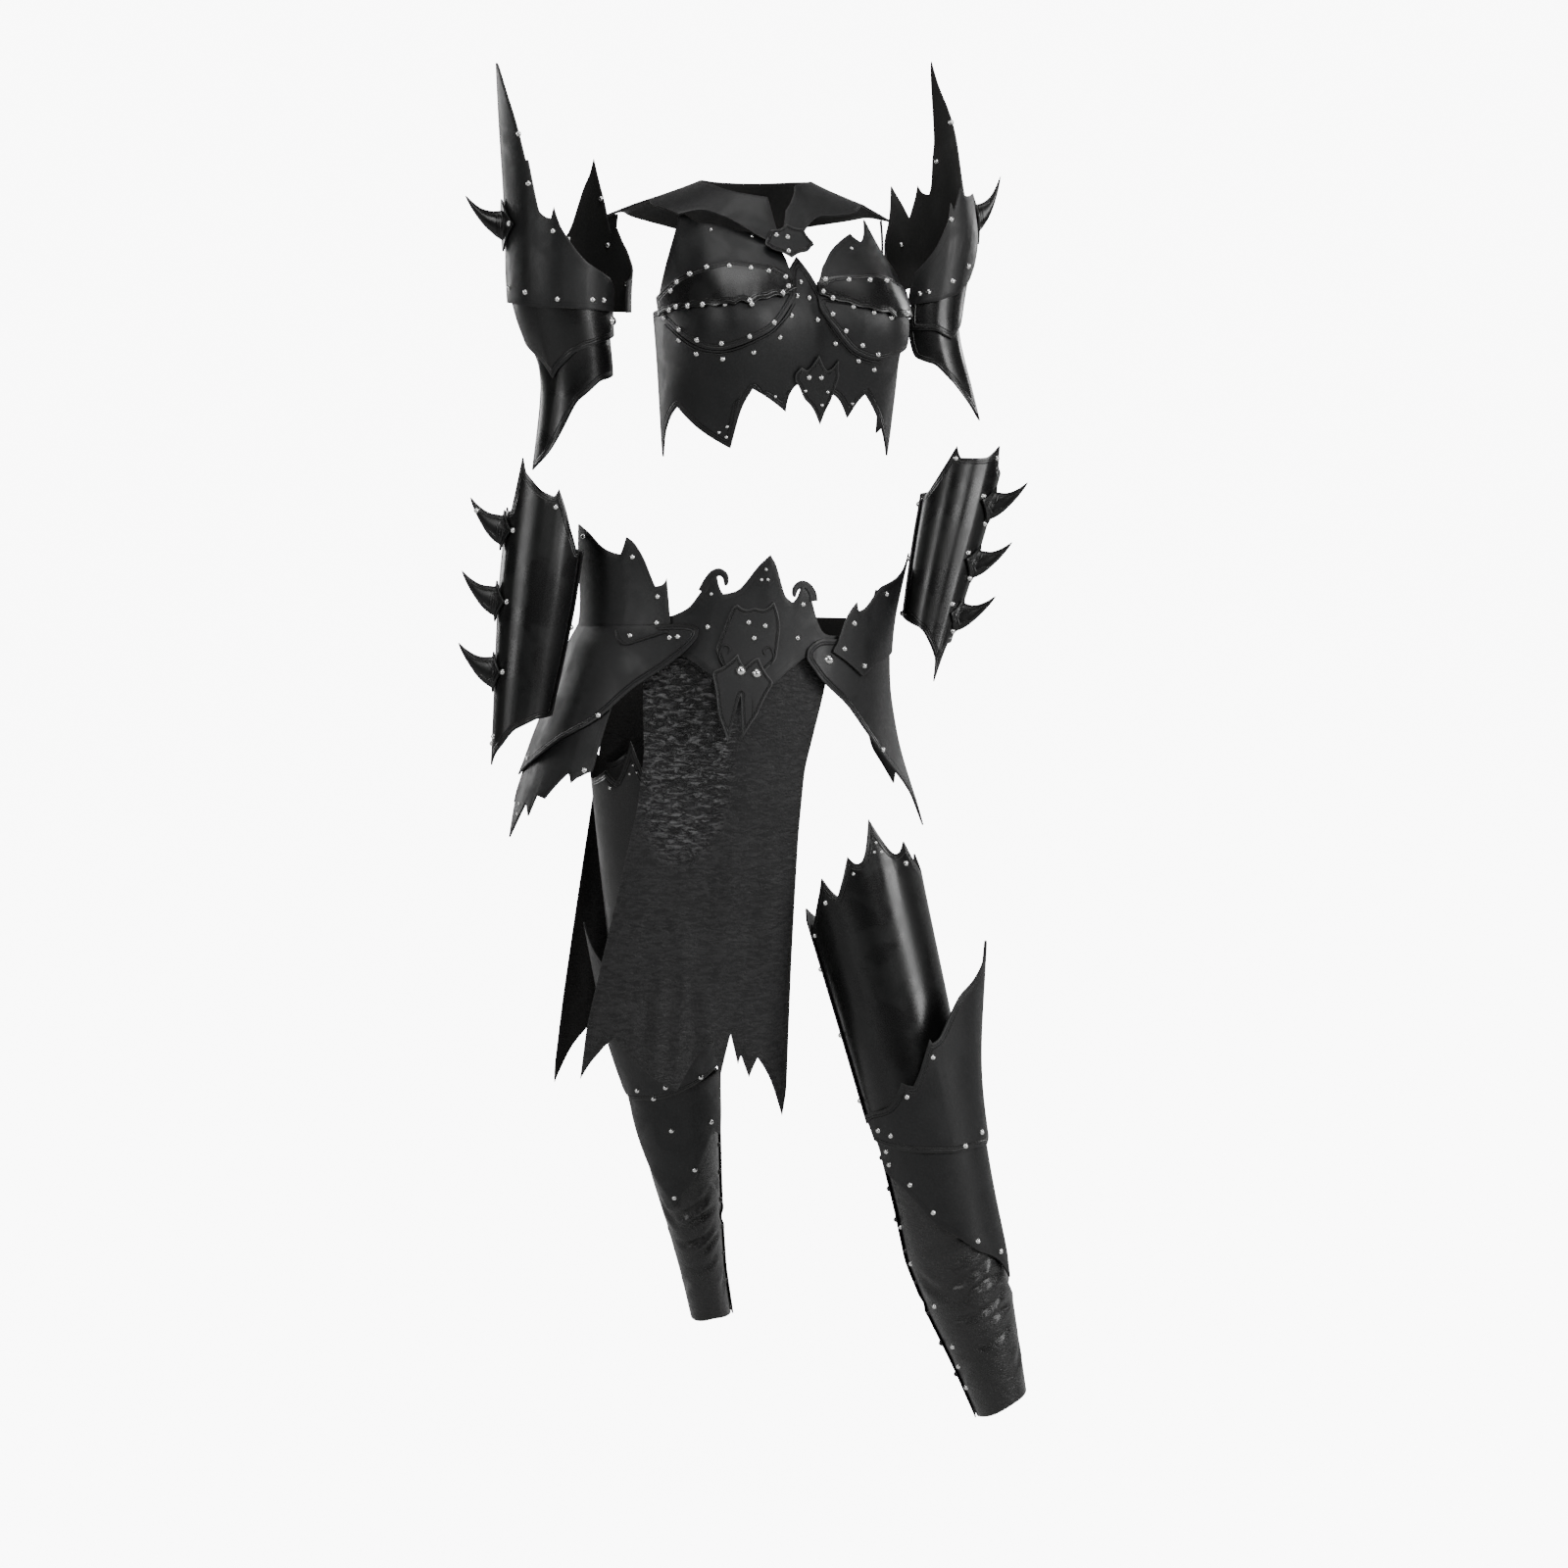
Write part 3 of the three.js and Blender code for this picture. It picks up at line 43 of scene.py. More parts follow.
# Each leather piece: its name, its finish, the line of the body that it wraps, and its flat cut
# as the width and length in metres and the share of that rectangle that the leather fills
PIECE_ROWS = (
    ("collar", "plate", "trunk", (0.831, 0.108, 0.44)),
    ("bodice", "plate", "trunk", (0.572, 0.212, 0.42)),
    ("back_band", "plate", "trunk", (0.345, 0.046, 0.99)),
    ("cup_upper_r", "plate", "trunk", (0.172, 0.094, 0.55)),
    ("cup_lower_r", "plate", "trunk", (0.191, 0.062, 0.66)),
    ("cup_band_r", "waxed", "trunk", (0.188, 0.058, 0.68)),
    ("cup_upper_l", "plate", "trunk", (0.179, 0.1, 0.45)),
    ("cup_lower_l", "plate", "trunk", (0.2, 0.067, 0.64)),
    ("cup_band_l", "waxed", "trunk", (0.196, 0.057, 0.61)),
    ("crest_upper", "plate", "trunk", (0.055, 0.042, 0.61)),
    ("crest_lower", "plate", "trunk", (0.049, 0.074, 0.53)),
    ("shoulder_cap_r", "plate", "arm_r", (0.231, 0.256, 0.44)),
    ("shoulder_back_r", "plate", "arm_r", (0.191, 0.17, 0.46)),
    ("shoulder_lame_r", "waxed", "arm_r", (0.202, 0.096, 0.61)),
    ("shoulder_cuff_r", "waxed", "arm_r", (0.197, 0.155, 0.39)),
    ("shoulder_strap_r", "plate", "arm_r", (0.019, 0.067, 0.97)),
    ("shoulder_cap_l", "plate", "arm_l", (0.135, 0.12, 0.64)),
    ("shoulder_back_l", "plate", "arm_l", (0.203, 0.268, 0.36)),
    ("shoulder_lame_l", "waxed", "arm_l", (0.102, 0.096, 0.54)),
    ("shoulder_cuff_l", "waxed", "arm_l", (0.122, 0.136, 0.41)),
    ("shoulder_strap_l", "plate", "arm_l", (0.018, 0.059, 0.99)),
    ("bracer_r", "waxed", "forearm_r", (0.284, 0.331, 0.6)),
    ("bracer_l", "waxed", "forearm_l", (0.268, 0.275, 0.58)),
    ("belt_front", "plate", "trunk", (0.266, 0.15, 0.45)),
    ("belt_back", "plate", "trunk", (0.673, 0.032, 0.88)),
    ("hip_plate_r", "plate", "trunk", (0.199, 0.131, 0.67)),
    ("hip_plate_l", "plate", "trunk", (0.215, 0.133, 0.55)),
    ("tasset_r", "plate", "trunk", (0.253, 0.181, 0.66)),
    ("tasset_flare_r", "plate", "trunk", (0.187, 0.15, 0.42)),
    ("tasset_l", "plate", "trunk", (0.281, 0.229, 0.55)),
    ("plaque_upper", "plate", "trunk", (0.067, 0.093, 0.74)),
    ("plaque_lower", "waxed", "trunk", (0.066, 0.093, 0.56)),
    ("loincloth_front", "pebbled", "trunk", (0.241, 0.54, 0.75)),
    ("loincloth_back", "pebbled", "trunk", (0.28, 0.546, 0.82)),
    ("thigh_cuff_l", "waxed", "thigh_l", (0.479, 0.32, 0.71)),
    ("thigh_cuff_r", "waxed", "thigh_r", (0.488, 0.41, 0.77)),
    ("knee_plate_l", "plate", "shin_l", (0.27, 0.216, 0.49)),
    ("knee_plate_r", "plate", "shin_r", (0.248, 0.216, 0.56)),
    ("shin_plate_l", "plate", "shin_l", (0.194, 0.192, 0.51)),
    ("shin_plate_r", "plate", "shin_r", (0.181, 0.152, 0.59)),
    ("legging_l", "soft", "shin_l", (0.387, 0.312, 0.86)),
    ("legging_r", "soft", "shin_r", (0.365, 0.305, 0.76)),
)
PIECES = {name: {"finish": finish, "core": core, "flat": flat} for name, finish, core, flat in PIECE_ROWS}
HORNS = (
    *("horn_r_1", "horn_r_2", "horn_r_3", "horn_l_1", "horn_l_2", "horn_l_3"),
    *("shoulder_horn_r", "shoulder_horn_l"),
)

# The middle lines of the trunk and limbs, from the lower to the upper end, in millimetres
CORES = {
    "trunk": ((-60, 60, -900), (0, 10, 0)),
    "arm_r": ((-216, -70, -303), (-206, -68, -63)),
    "arm_l": ((230, 50, -283), (195, 56, -53)),
    "forearm_r": ((-256, -122, -615), (-221, -94, -333)),
    "forearm_l": ((189, -20, -498), (240, 36, -283)),
    "thigh_r": ((-96, 74, -1043), (-116, 0, -653)),
    "thigh_l": ((188, -118, -1043), (116, -54, -763)),
    "shin_r": ((-52, 120, -1313), (-98, 76, -1023)),
    "shin_l": ((272, -142, -1333), (189, -116, -1023)),
}

# Domed rivets that show from the front: across and up, in millimetres
RIVETS = {
    "belt_front": [(53, -455), (47, -491), (-50, -478)],
    "bodice": [
        *[(-80, -173), (-61, -188), (-33, -194), (0, -187), (28, -171), (40, -148), (50, -112)],
        *[(46, -127), (59, -129), (68, -152), (87, -177), (112, -195), (129, -204)],
    ],
    "bracer_l": [(222, -299), (269, -299), (253, -341), (255, -371), (236, -403), (218, -459), (185, -346)],
    "bracer_r": [(-211, -350), (-258, -375), (-265, -451), (-270, -526), (-281, -596), (-283, -604)],
    "crest_lower": [(59, -213), (72, -213)],
    "crest_upper": [(24, -62), (36, -64), (37, -79)],
    "cup_band_l": [(76, -109), (74, -122), (84, -129), (101, -109), (124, -109), (142, -109), (165, -143)],
    "cup_band_r": [
        *[(-89, -121), (-82, -112), (-68, -104), (-50, -97), (-26, -96), (-3, -98), (16, -101)],
        *[(34, -107), (37, -117), (-91, -141), (-83, -138), (-70, -138), (-54, -137), (-4, -133)],
        *[(17, -131), (31, -124)],
    ],
    "cup_lower_l": [(84, -146), (98, -164), (116, -179), (133, -188), (106, -138), (128, -144), (147, -149)],
    "cup_lower_r": [(-30, -137), (-97, -148), (-80, -162), (-60, -174), (-34, -178), (-4, -171), (22, -156)],
    "hip_plate_l": [(145, -447), (109, -477), (98, -504), (120, -524)],
    "hip_plate_r": [(-186, -383), (-131, -404), (-104, -446), (-105, -474)],
    "horn_l_2": [(237, -431)],
    "horn_l_3": [(218, -489)],
    "horn_r_1": [(-297, -354)],
    "knee_plate_l": [(192, -937), (164, -980), (134, -1023), (147, -1026), (228, -1036), (247, -1026)],
    "knee_plate_r": [(-136, -1018), (-117, -1026), (-103, -1011), (-63, -1001)],
    "legging_l": [(160, -1138), (171, -1176), (196, -1218), (216, -1263), (223, -1287), (232, -1311)],
    "plaque_upper": [(-6, -473), (12, -477), (0, -490)],
    "shin_plate_l": [(143, -1047), (146, -1062), (168, -1080), (193, -1108), (242, -1140), (268, -1157)],
    "shin_plate_r": [(-52, -1060), (-122, -1123), (-95, -1150), (-71, -1115)],
    "shoulder_back_l": [(220, 76), (205, 34), (165, -59)],
    "shoulder_back_r": [(-204, -60), (-168, -17), (-160, -68), (-138, -111)],
    "shoulder_cap_l": [(216, -38), (236, -88), (218, -105), (191, -117), (181, -119)],
    "shoulder_cap_r": [
        *[(-212, -60), (-248, 42), (-238, -10), (-263, -117), (-243, -123), (-208, -131)],
        *[(-171, -131), (-160, -131)],
    ],
    "shoulder_horn_r": [(-261, -50)],
    "tasset_flare_r": [(-183, -632)],
    "tasset_l": [(141, -618)],
    "tasset_r": [(-134, -488), (-91, -489), (-82, -488), (-168, -573), (-251, -627)],
    "thigh_cuff_l": [(77, -780), (165, -738), (66, -821)],
}
TINY_RIVETS = {
    "belt_front": [(-46, -443), (13, -417), (8, -428), (15, -428)],
    "bodice": [(-38, -271), (-29, -265), (-30, -276), (23, -233), (106, -240)],
    "crest_lower": [(55, -227), (79, -228), (73, -242)],
    "cup_upper_l": [(105, -74)],
    "cup_upper_r": [(-46, -56), (-2, -63)],
    "tasset_flare_r": [(-259, -676), (-261, -687)],
    "thigh_cuff_l": [(107, -746), (132, -713), (130, -723), (138, -723)],
    "thigh_cuff_r": [(-133, -632), (-137, -642), (-129, -640), (-160, -660)],
}
# Plain rivets of the hidden sides, seen from the back, the right and the left
BACK_RIVETS = {
    "back_band": [(136, -182), (136, -205), (-90, -182), (-90, -205), (24, -182), (24, -205)],
    "belt_back": [(-142, -496), (-98, -497), (-54, -497), (-10, -497), (34, -496), (78, -495)],
}
RIGHT_RIVETS = {
    "bracer_l": [(-14, -470), (0, -410), (18, -350)],
    "thigh_cuff_l": [(-76, -860), (-96, -930), (-112, -1000)],
}
LEFT_RIVETS = {
    "bracer_r": [(-118, -575), (-108, -480), (-100, -390)],
    "thigh_cuff_r": [(24, -740), (44, -840), (62, -950)],
}
# Blackened studs down the inner edge of the leggings, seen from that side
STUD_TOP = -1062
STUD_DROPS = [k * 34 for k in range(8)]
RIGHT_STUDS = {"legging_l": [(-118 - 0.088 * drop, STUD_TOP - drop) for drop in STUD_DROPS]}
LEFT_STUDS = {"legging_r": [(82 + 0.15 * drop, STUD_TOP - drop) for drop in STUD_DROPS]}
LARGE_RIVETS = {
    "plaque_lower": [(-14, -524), (3, -527)],
    "shoulder_lame_r": [(-153, -152)],
    "tasset_l": [(81, -515)],
}


def pick(piece):
    bpy.ops.object.select_all(action="DESELECT")
    piece.select_set(True)
    bpy.context.view_layer.objects.active = piece


def apply_modifiers(piece):
    pick(piece)
    for modifier in list(piece.modifiers):
        bpy.ops.object.modifier_apply(modifier=modifier.name)


def socket(group, name, kind, way="INPUT", value=None):
    made = group.interface.new_socket(name=name, in_out=way, socket_type=kind)
    if value is not None:
        made.default_value = value


def new_group(name, inputs, outputs):
    """A shader node group with its input and output nodes"""
    group = bpy.data.node_groups.new(name, "ShaderNodeTree")
    for label, kind, value in inputs:
        socket(group, label, kind, value=value)
    for label, kind in outputs:
        socket(group, label, kind, "OUTPUT")
    start = group.nodes.new("NodeGroupInput")
    end = group.nodes.new("NodeGroupOutput")
    return group, start, end


def math_node(tree, operation, first, second=None, clamp=False):
    node = tree.nodes.new("ShaderNodeMath")
    node.operation = operation
    node.use_clamp = clamp
    for index, value in enumerate((first, second)):
        if value is None:
            continue
        if isinstance(value, (int, float)):
            node.inputs[index].default_value = value
        else:
            tree.links.new(value, node.inputs[index])
    return node.outputs[0]


def ramp(tree, value, low, high, to_low=0.0, to_high=1.0):
    node = tree.nodes.new("ShaderNodeMapRange")
    node.interpolation_type = "SMOOTHSTEP"
    tree.links.new(value, node.inputs["Value"])
    for label, number in (("From Min", low), ("From Max", high), ("To Min", to_low), ("To Max", to_high)):
        if isinstance(number, (int, float)):
            node.inputs[label].default_value = number
        else:
            tree.links.new(number, node.inputs[label])
    return node.outputs["Result"]


def grain_group():
    """Hide grain: rounded cells with fine pores between them, and soft rolls of the hide"""
    group, start, end = new_group(
        "hide_grain",
        [
            ("Vector", "NodeSocketVector", None),
            ("Cells per metre", "NodeSocketFloat", 700.0),
            ("Roll", "NodeSocketFloat", 0.3),
        ],
        [("Height", "NodeSocketFloat"), ("Pores", "NodeSocketFloat")],
    )
    cells = group.nodes.new("ShaderNodeTexVoronoi")
    cells.feature = "DISTANCE_TO_EDGE"
    group.links.new(start.outputs["Vector"], cells.inputs["Vector"])
    group.links.new(start.outputs["Cells per metre"], cells.inputs["Scale"])
    pebble = ramp(group, cells.outputs["Distance"], 0.0, 0.34)
    rolls = group.nodes.new("ShaderNodeTexNoise")
    rolls.inputs["Detail"].default_value = 3.0
    group.links.new(start.outputs["Vector"], rolls.inputs["Vector"])
    rolls_per_metre = math_node(group, "MULTIPLY", start.outputs["Cells per metre"], 0.12)
    group.links.new(rolls_per_metre, rolls.inputs["Scale"])
    rolled = math_node(group, "MULTIPLY", rolls.outputs["Fac"], start.outputs["Roll"])
    group.links.new(math_node(group, "ADD", pebble, rolled), end.inputs["Height"])
    group.links.new(math_node(group, "SUBTRACT", 1.0, pebble), end.inputs["Pores"])
    return group


def border_group():
    """A pair of lines pressed along the rim: a strong one, and a faint one outside it"""
    group, start, end = new_group(
        "pressed_border",
        [
            ("Rim", "NodeSocketFloat", 1.0),
            ("Inset", "NodeSocketFloat", 0.007),
            ("Width", "NodeSocketFloat", 0.0011),
        ],
        [("Height", "NodeSocketFloat"), ("Line", "NodeSocketFloat")],
    )
    lines = []
    for share, depth in ((1.0, 1.0), (0.58, 0.55)):
        middle = math_node(group, "MULTIPLY", start.outputs["Inset"], share)
        away = math_node(group, "ABSOLUTE", math_node(group, "SUBTRACT", start.outputs["Rim"], middle))
        line = ramp(group, away, 0.0, start.outputs["Width"], 1.0, 0.0)
        lines.append(math_node(group, "MULTIPLY", line, depth))
    both = math_node(group, "MAXIMUM", lines[0], lines[1])
    group.links.new(both, end.inputs["Line"])
    group.links.new(math_node(group, "SUBTRACT", 1.0, both), end.inputs["Height"])
    return group


def rim_polish_highlight_group():
    """Lighter along the rim, broken up by the hide: partly wear polished into the edge, partly a painted
    highlight on it
    """
    group, start, end = new_group(
        "rim_polish_and_highlight",
        [
            ("Vector", "NodeSocketVector", None),
            ("Rim", "NodeSocketFloat", 1.0),
            ("Reach", "NodeSocketFloat", 0.003),
            ("Patches per metre", "NodeSocketFloat", 60.0),
        ],
        [("Mask", "NodeSocketFloat")],
    )
    near = ramp(group, start.outputs["Rim"], 0.0, start.outputs["Reach"], 1.0, 0.0)
    patches = group.nodes.new("ShaderNodeTexNoise")
    patches.inputs["Detail"].default_value = 4.0
    patches.inputs["Roughness"].default_value = 0.65
    group.links.new(start.outputs["Vector"], patches.inputs["Vector"])
    group.links.new(start.outputs["Patches per metre"], patches.inputs["Scale"])
    broken = ramp(group, patches.outputs["Fac"], 0.35, 0.65, 0.35, 1.0)
    group.links.new(math_node(group, "MULTIPLY", near, broken), end.inputs["Mask"])
    return group


def mottle_group():
    """Slow change of dye and wax over the hide"""
    group, start, end = new_group(
        "dye_mottle",
        [("Vector", "NodeSocketVector", None), ("Patches per metre", "NodeSocketFloat", 9.0)],
        [("Tone", "NodeSocketFloat"), ("Smear", "NodeSocketFloat")],
    )
    tone = group.nodes.new("ShaderNodeTexNoise")
    tone.inputs["Detail"].default_value = 5.0
    tone.inputs["Roughness"].default_value = 0.6
    group.links.new(start.outputs["Vector"], tone.inputs["Vector"])
    group.links.new(start.outputs["Patches per metre"], tone.inputs["Scale"])
    smear = group.nodes.new("ShaderNodeTexNoise")
    smear.inputs["Detail"].default_value = 2.0
    smear.inputs["Distortion"].default_value = 0.8
    group.links.new(start.outputs["Vector"], smear.inputs["Vector"])
    group.links.new(
        math_node(group, "MULTIPLY", start.outputs["Patches per metre"], 3.1), smear.inputs["Scale"]
    )
    group.links.new(ramp(group, tone.outputs["Fac"], 0.3, 0.7), end.inputs["Tone"])
    group.links.new(ramp(group, smear.outputs["Fac"], 0.35, 0.65), end.inputs["Smear"])
    return group


def crinkle_group():
    """Short wrinkles that lie across the hide, deep where it bunches and faint elsewhere"""
    group, start, end = new_group(
        "bunched_crinkle",
        [
            ("Vector", "NodeSocketVector", None),
            ("Wrinkles per metre", "NodeSocketFloat", 84.0),
            ("Faint", "NodeSocketFloat", 0.12),
        ],
        [("Height", "NodeSocketFloat"), ("Deep", "NodeSocketFloat")],
    )
    lay = group.nodes.new("ShaderNodeMapping")
    lay.inputs["Rotation"].default_value = (0, math.radians(10), 0)
    lay.inputs["Scale"].default_value = (1.0, 1.0, 3.0)
    group.links.new(start.outputs["Vector"], lay.inputs["Vector"])
    waves = group.nodes.new("ShaderNodeTexNoise")
    waves.inputs["Detail"].default_value = 3.5
    waves.inputs["Roughness"].default_value = 0.62
    waves.inputs["Distortion"].default_value = 0.9
    group.links.new(lay.outputs["Vector"], waves.inputs["Vector"])
    group.links.new(start.outputs["Wrinkles per metre"], waves.inputs["Scale"])
    middle = group.nodes.new("ShaderNodeMapping")
    middle.inputs["Location"].default_value = (1.2, 0.6, 3.84)
    middle.inputs["Scale"].default_value = (15.0, 5.0, 6.4)
    group.links.new(start.outputs["Vector"], middle.inputs["Vector"])
    reach = group.nodes.new("ShaderNodeTexGradient")
    reach.gradient_type = "SPHERICAL"
    group.links.new(middle.outputs["Vector"], reach.inputs["Vector"])
    broken = group.nodes.new("ShaderNodeTexNoise")
    broken.inputs["Detail"].default_value = 2.0
    broken.inputs["Scale"].default_value = 22.0
    group.links.new(start.outputs["Vector"], broken.inputs["Vector"])
    mask = math_node(
        group,
        "MULTIPLY",
        ramp(group, reach.outputs["Fac"], 0.0, 0.35),
        ramp(group, broken.outputs["Fac"], 0.2, 0.5, 0.45, 1.0),
    )
    deep = math_node(group, "MAXIMUM", mask, start.outputs["Faint"])
    ridges = ramp(group, waves.outputs["Fac"], 0.4, 0.62)
    group.links.new(math_node(group, "MULTIPLY", ridges, deep), end.inputs["Height"])
    group.links.new(mask, end.inputs["Deep"])
    return group


GRAIN = grain_group()
CRINKLE = crinkle_group()
BORDER = border_group()
RIM_POLISH_HIGHLIGHT = rim_polish_highlight_group()
MOTTLE = mottle_group()


def place_group(tree, group, values, links):
    node = tree.nodes.new("ShaderNodeGroup")
    node.node_tree = group
    for label, value in values.items():
        node.inputs[label].default_value = value
    for label, source in links.items():
        tree.links.new(source, node.inputs[label])
    return node


def blend_colour(tree, mask, first, second):
    node = tree.nodes.new("ShaderNodeMix")
    node.data_type = "RGBA"
    tree.links.new(mask, node.inputs["Factor"])
    for label, colour in (("A", first), ("B", second)):
        target = next(s for s in node.inputs if s.name == label and s.type == "RGBA")
        if isinstance(colour, tuple):
            target.default_value = (*colour, 1.0)
        else:
            tree.links.new(colour, target)
    return next(s for s in node.outputs if s.type == "RGBA")


def leather(name, look):
    """Dyed leather whose face is tooled and whose flesh side is matte; its rim is lighter from wear and from
    a painted highlight, its pressed lines are darkened with painted shade, and its crinkled wrinkle tops get
    a painted highlight
    """
    material = bpy.data.materials.new(name)
    material.use_nodes = True
    tree = material.node_tree
    shader = tree.nodes["Principled BSDF"]
    place = tree.nodes.new("ShaderNodeTexCoord").outputs["Object"]
    rim = tree.nodes.new("ShaderNodeAttribute")
    rim.attribute_name = "rim"
    flesh = tree.nodes.new("ShaderNodeAttribute")
    flesh.attribute_name = "flesh"
    grain = place_group(
        tree, GRAIN, {"Cells per metre": look["cells"], "Roll": look["roll"]}, {"Vector": place}
    )
    border = place_group(
        tree, BORDER, {"Inset": look["inset"], "Width": look["line"]}, {"Rim": rim.outputs["Fac"]}
    )
    rim_polish_highlight = place_group(
        tree, RIM_POLISH_HIGHLIGHT, {"Reach": look["rim_polish_reach"]}, {"Vector": place, "Rim": rim.outputs["Fac"]}
    )
    mottle = place_group(tree, MOTTLE, {"Patches per metre": look["patches"]}, {"Vector": place})
    dye = blend_colour(tree, mottle.outputs["Tone"], look["dark"], look["light"])
    # The pressed lines are darkened with painted shade
    lined = blend_colour(
        tree, math_node(tree, "MULTIPLY", border.outputs["Line"], 0.7), dye, look["pressed_line_shade"]
    )
    # The rim is lighter: wear polished into it, and a painted highlight along it
    rimmed = blend_colour(tree, rim_polish_highlight.outputs["Mask"], lined, look["worn"])
    sided = blend_colour(tree, flesh.outputs["Fac"], rimmed, look["inside"])
    tree.links.new(sided, shader.inputs["Base Color"])
    waxed = ramp(tree, mottle.outputs["Smear"], 0.0, 1.0, look["gloss"], look["dull"])
    porous = math_node(
        tree, "ADD", waxed, math_node(tree, "MULTIPLY", grain.outputs["Pores"], look["pore_dull"])
    )
    matte = math_node(
        tree, "ADD", porous, math_node(tree, "MULTIPLY", flesh.outputs["Fac"], 0.35), clamp=True
    )
    tree.links.new(matte, shader.inputs["Roughness"])
    shader.inputs["Specular IOR Level"].default_value = look["shine"]
    shader.inputs["Coat Weight"].default_value = look["coat"]
    shader.inputs["Coat Roughness"].default_value = look["coat_rough"]
    if look["crinkle"]:
        bunched = place_group(tree, CRINKLE, {"Faint": look["faint"]}, {"Vector": place})
        relief = tree.nodes.new("ShaderNodeBump")
        relief.inputs["Strength"].default_value = 1.0
        relief.inputs["Distance"].default_value = look["crinkle"]
        tree.links.new(bunched.outputs["Height"], relief.inputs["Height"])
        bright = math_node(tree, "MULTIPLY", bunched.outputs["Deep"], 0.16)
        tree.links.new(math_node(tree, "SUBTRACT", matte, bright), shader.inputs["Roughness"])
        # The wrinkle tops are lightened with a painted highlight, strongest in the deep patch
        ridge_highlight = math_node(tree, "MULTIPLY", bunched.outputs["Height"], look["ridge_highlight"])
        tops = math_node(tree, "SUBTRACT", ridge_highlight, flesh.outputs["Fac"], clamp=True)
        tree.links.new(blend_colour(tree, tops, sided, look["ridge_highlight_tone"]), shader.inputs["Base Color"])
    grained = tree.nodes.new("ShaderNodeBump")
    if look["crinkle"]:
        tree.links.new(relief.outputs["Normal"], grained.inputs["Normal"])
    grained.inputs["Strength"].default_value = look["grain_strength"]
    grained.inputs["Distance"].default_value = look["grain_depth"]
    tree.links.new(grain.outputs["Height"], grained.inputs["Height"])
    tooled = tree.nodes.new("ShaderNodeBump")
    tooled.inputs["Strength"].default_value = look["tooling"]
    tooled.inputs["Distance"].default_value = 0.0009
    tree.links.new(border.outputs["Height"], tooled.inputs["Height"])
    tree.links.new(grained.outputs["Normal"], tooled.inputs["Normal"])
    tree.links.new(tooled.outputs["Normal"], shader.inputs["Normal"])
    return material


PLATE_LOOK = {
    "cells": 900.0,
    "roll": 0.5,
    "inset": 0.0062,
    "line": 0.001,
    "rim_polish_reach": 0.0016,
    "patches": 8.0,
    "dark": (0.0045, 0.0045, 0.0048),
    "light": (0.0095, 0.0095, 0.0098),
    # colour of the pressed lines: painted shade
    "pressed_line_shade": (0.002, 0.002, 0.002),
    # rim colour: wear and a painted highlight
    "worn": (0.02, 0.02, 0.02),
    "inside": (0.012, 0.0115, 0.011),
    "gloss": 0.4,
    "dull": 0.52,
    "pore_dull": 0.05,
    "shine": 0.36,
    "coat": 0.0,
    "coat_rough": 0.3,
    "grain_strength": 0.35,
    "grain_depth": 0.00012,
    "tooling": 0.0,
    "crinkle": 0.0,
    "faint": 0.1,
    "ridge_highlight": 0.0,
    # wrinkle-top colour: painted highlight
    "ridge_highlight_tone": (0.11, 0.11, 0.112),
}
FINISHES = {
    "plate": leather("matte_plate_leather", PLATE_LOOK),
    "tooled": leather("tooled_plate_leather", {**PLATE_LOOK, "tooling": 0.9}),
    "crest": leather(
        "moulded_crest_leather",
        # the crest's rim is lighter still: wear and a painted highlight
        {**PLATE_LOOK, "tooling": 1.0, "inset": 0.0034, "line": 0.0009, "worn": (0.05, 0.05, 0.05)},
    ),
    "waxed": leather(
        "waxed_leather",
        {
            **PLATE_LOOK,
            "dark": (0.003, 0.003, 0.003),
            "light": (0.007, 0.007, 0.007),
            "gloss": 0.24,
            "dull": 0.33,
            "shine": 0.36,
            "coat": 0.12,
            "coat_rough": 0.2,
            "grain_strength": 0.2,
            "tooling": 0.8,
        },
    ),
    "pebbled": leather(
        "pebbled_leather",
        {
            **PLATE_LOOK,
            "cells": 340.0,
            "roll": 0.8,
            "gloss": 0.4,
            "dull": 0.5,
            "pore_dull": 0.1,
            "grain_strength": 0.4,
            "grain_depth": 0.0004,
            "crinkle": 0.005,
            # strength of the painted highlight on the wrinkle tops
            "ridge_highlight": 0.85,
        },
    ),
    "soft": leather(
        "soft_leather",
        {
            **PLATE_LOOK,
            "dark": (0.005, 0.005, 0.005),
            "light": (0.011, 0.011, 0.011),
            "gloss": 0.26,
            "dull": 0.4,
            "coat": 0.2,
            "coat_rough": 0.18,
            "cells": 500.0,
            "roll": 1.0,
            "grain_strength": 0.4,
            "grain_depth": 0.0004,
            "crinkle": 0.0008,
            "faint": 0.4,
        },
    ),
}
# Pieces with a line pressed inside their rim
CRESTS = ("crest_upper", "crest_lower", "plaque_upper", "plaque_lower")
TOOLED = ("tasset_r", "tasset_l", "bodice", "knee_plate_l", "knee_plate_r", "cup_lower_r", "cup_lower_l")


def metal(name, patches, dark, light, bright, dull):
    """Turned metal, with its tone and its polish a little uneven"""
    material = bpy.data.materials.new(name)
    material.use_nodes = True
    tree = material.node_tree
    shader = tree.nodes["Principled BSDF"]
    place = tree.nodes.new("ShaderNodeTexCoord").outputs["Object"]
    mottle = place_group(tree, MOTTLE, {"Patches per metre": patches}, {"Vector": place})
    tree.links.new(blend_colour(tree, mottle.outputs["Tone"], dark, light), shader.inputs["Base Color"])
    polish = ramp(tree, mottle.outputs["Smear"], 0.0, 1.0, bright, dull)
    tree.links.new(polish, shader.inputs["Roughness"])
    shader.inputs["Metallic"].default_value = 1.0
    return material


STEEL = metal("nickelled_steel", 220.0, (0.62, 0.62, 0.61), (0.88, 0.88, 0.87), 0.16, 0.28)
BLACKENED = metal("blackened_steel", 180.0, (0.02, 0.02, 0.02), (0.06, 0.06, 0.06), 0.2, 0.34)


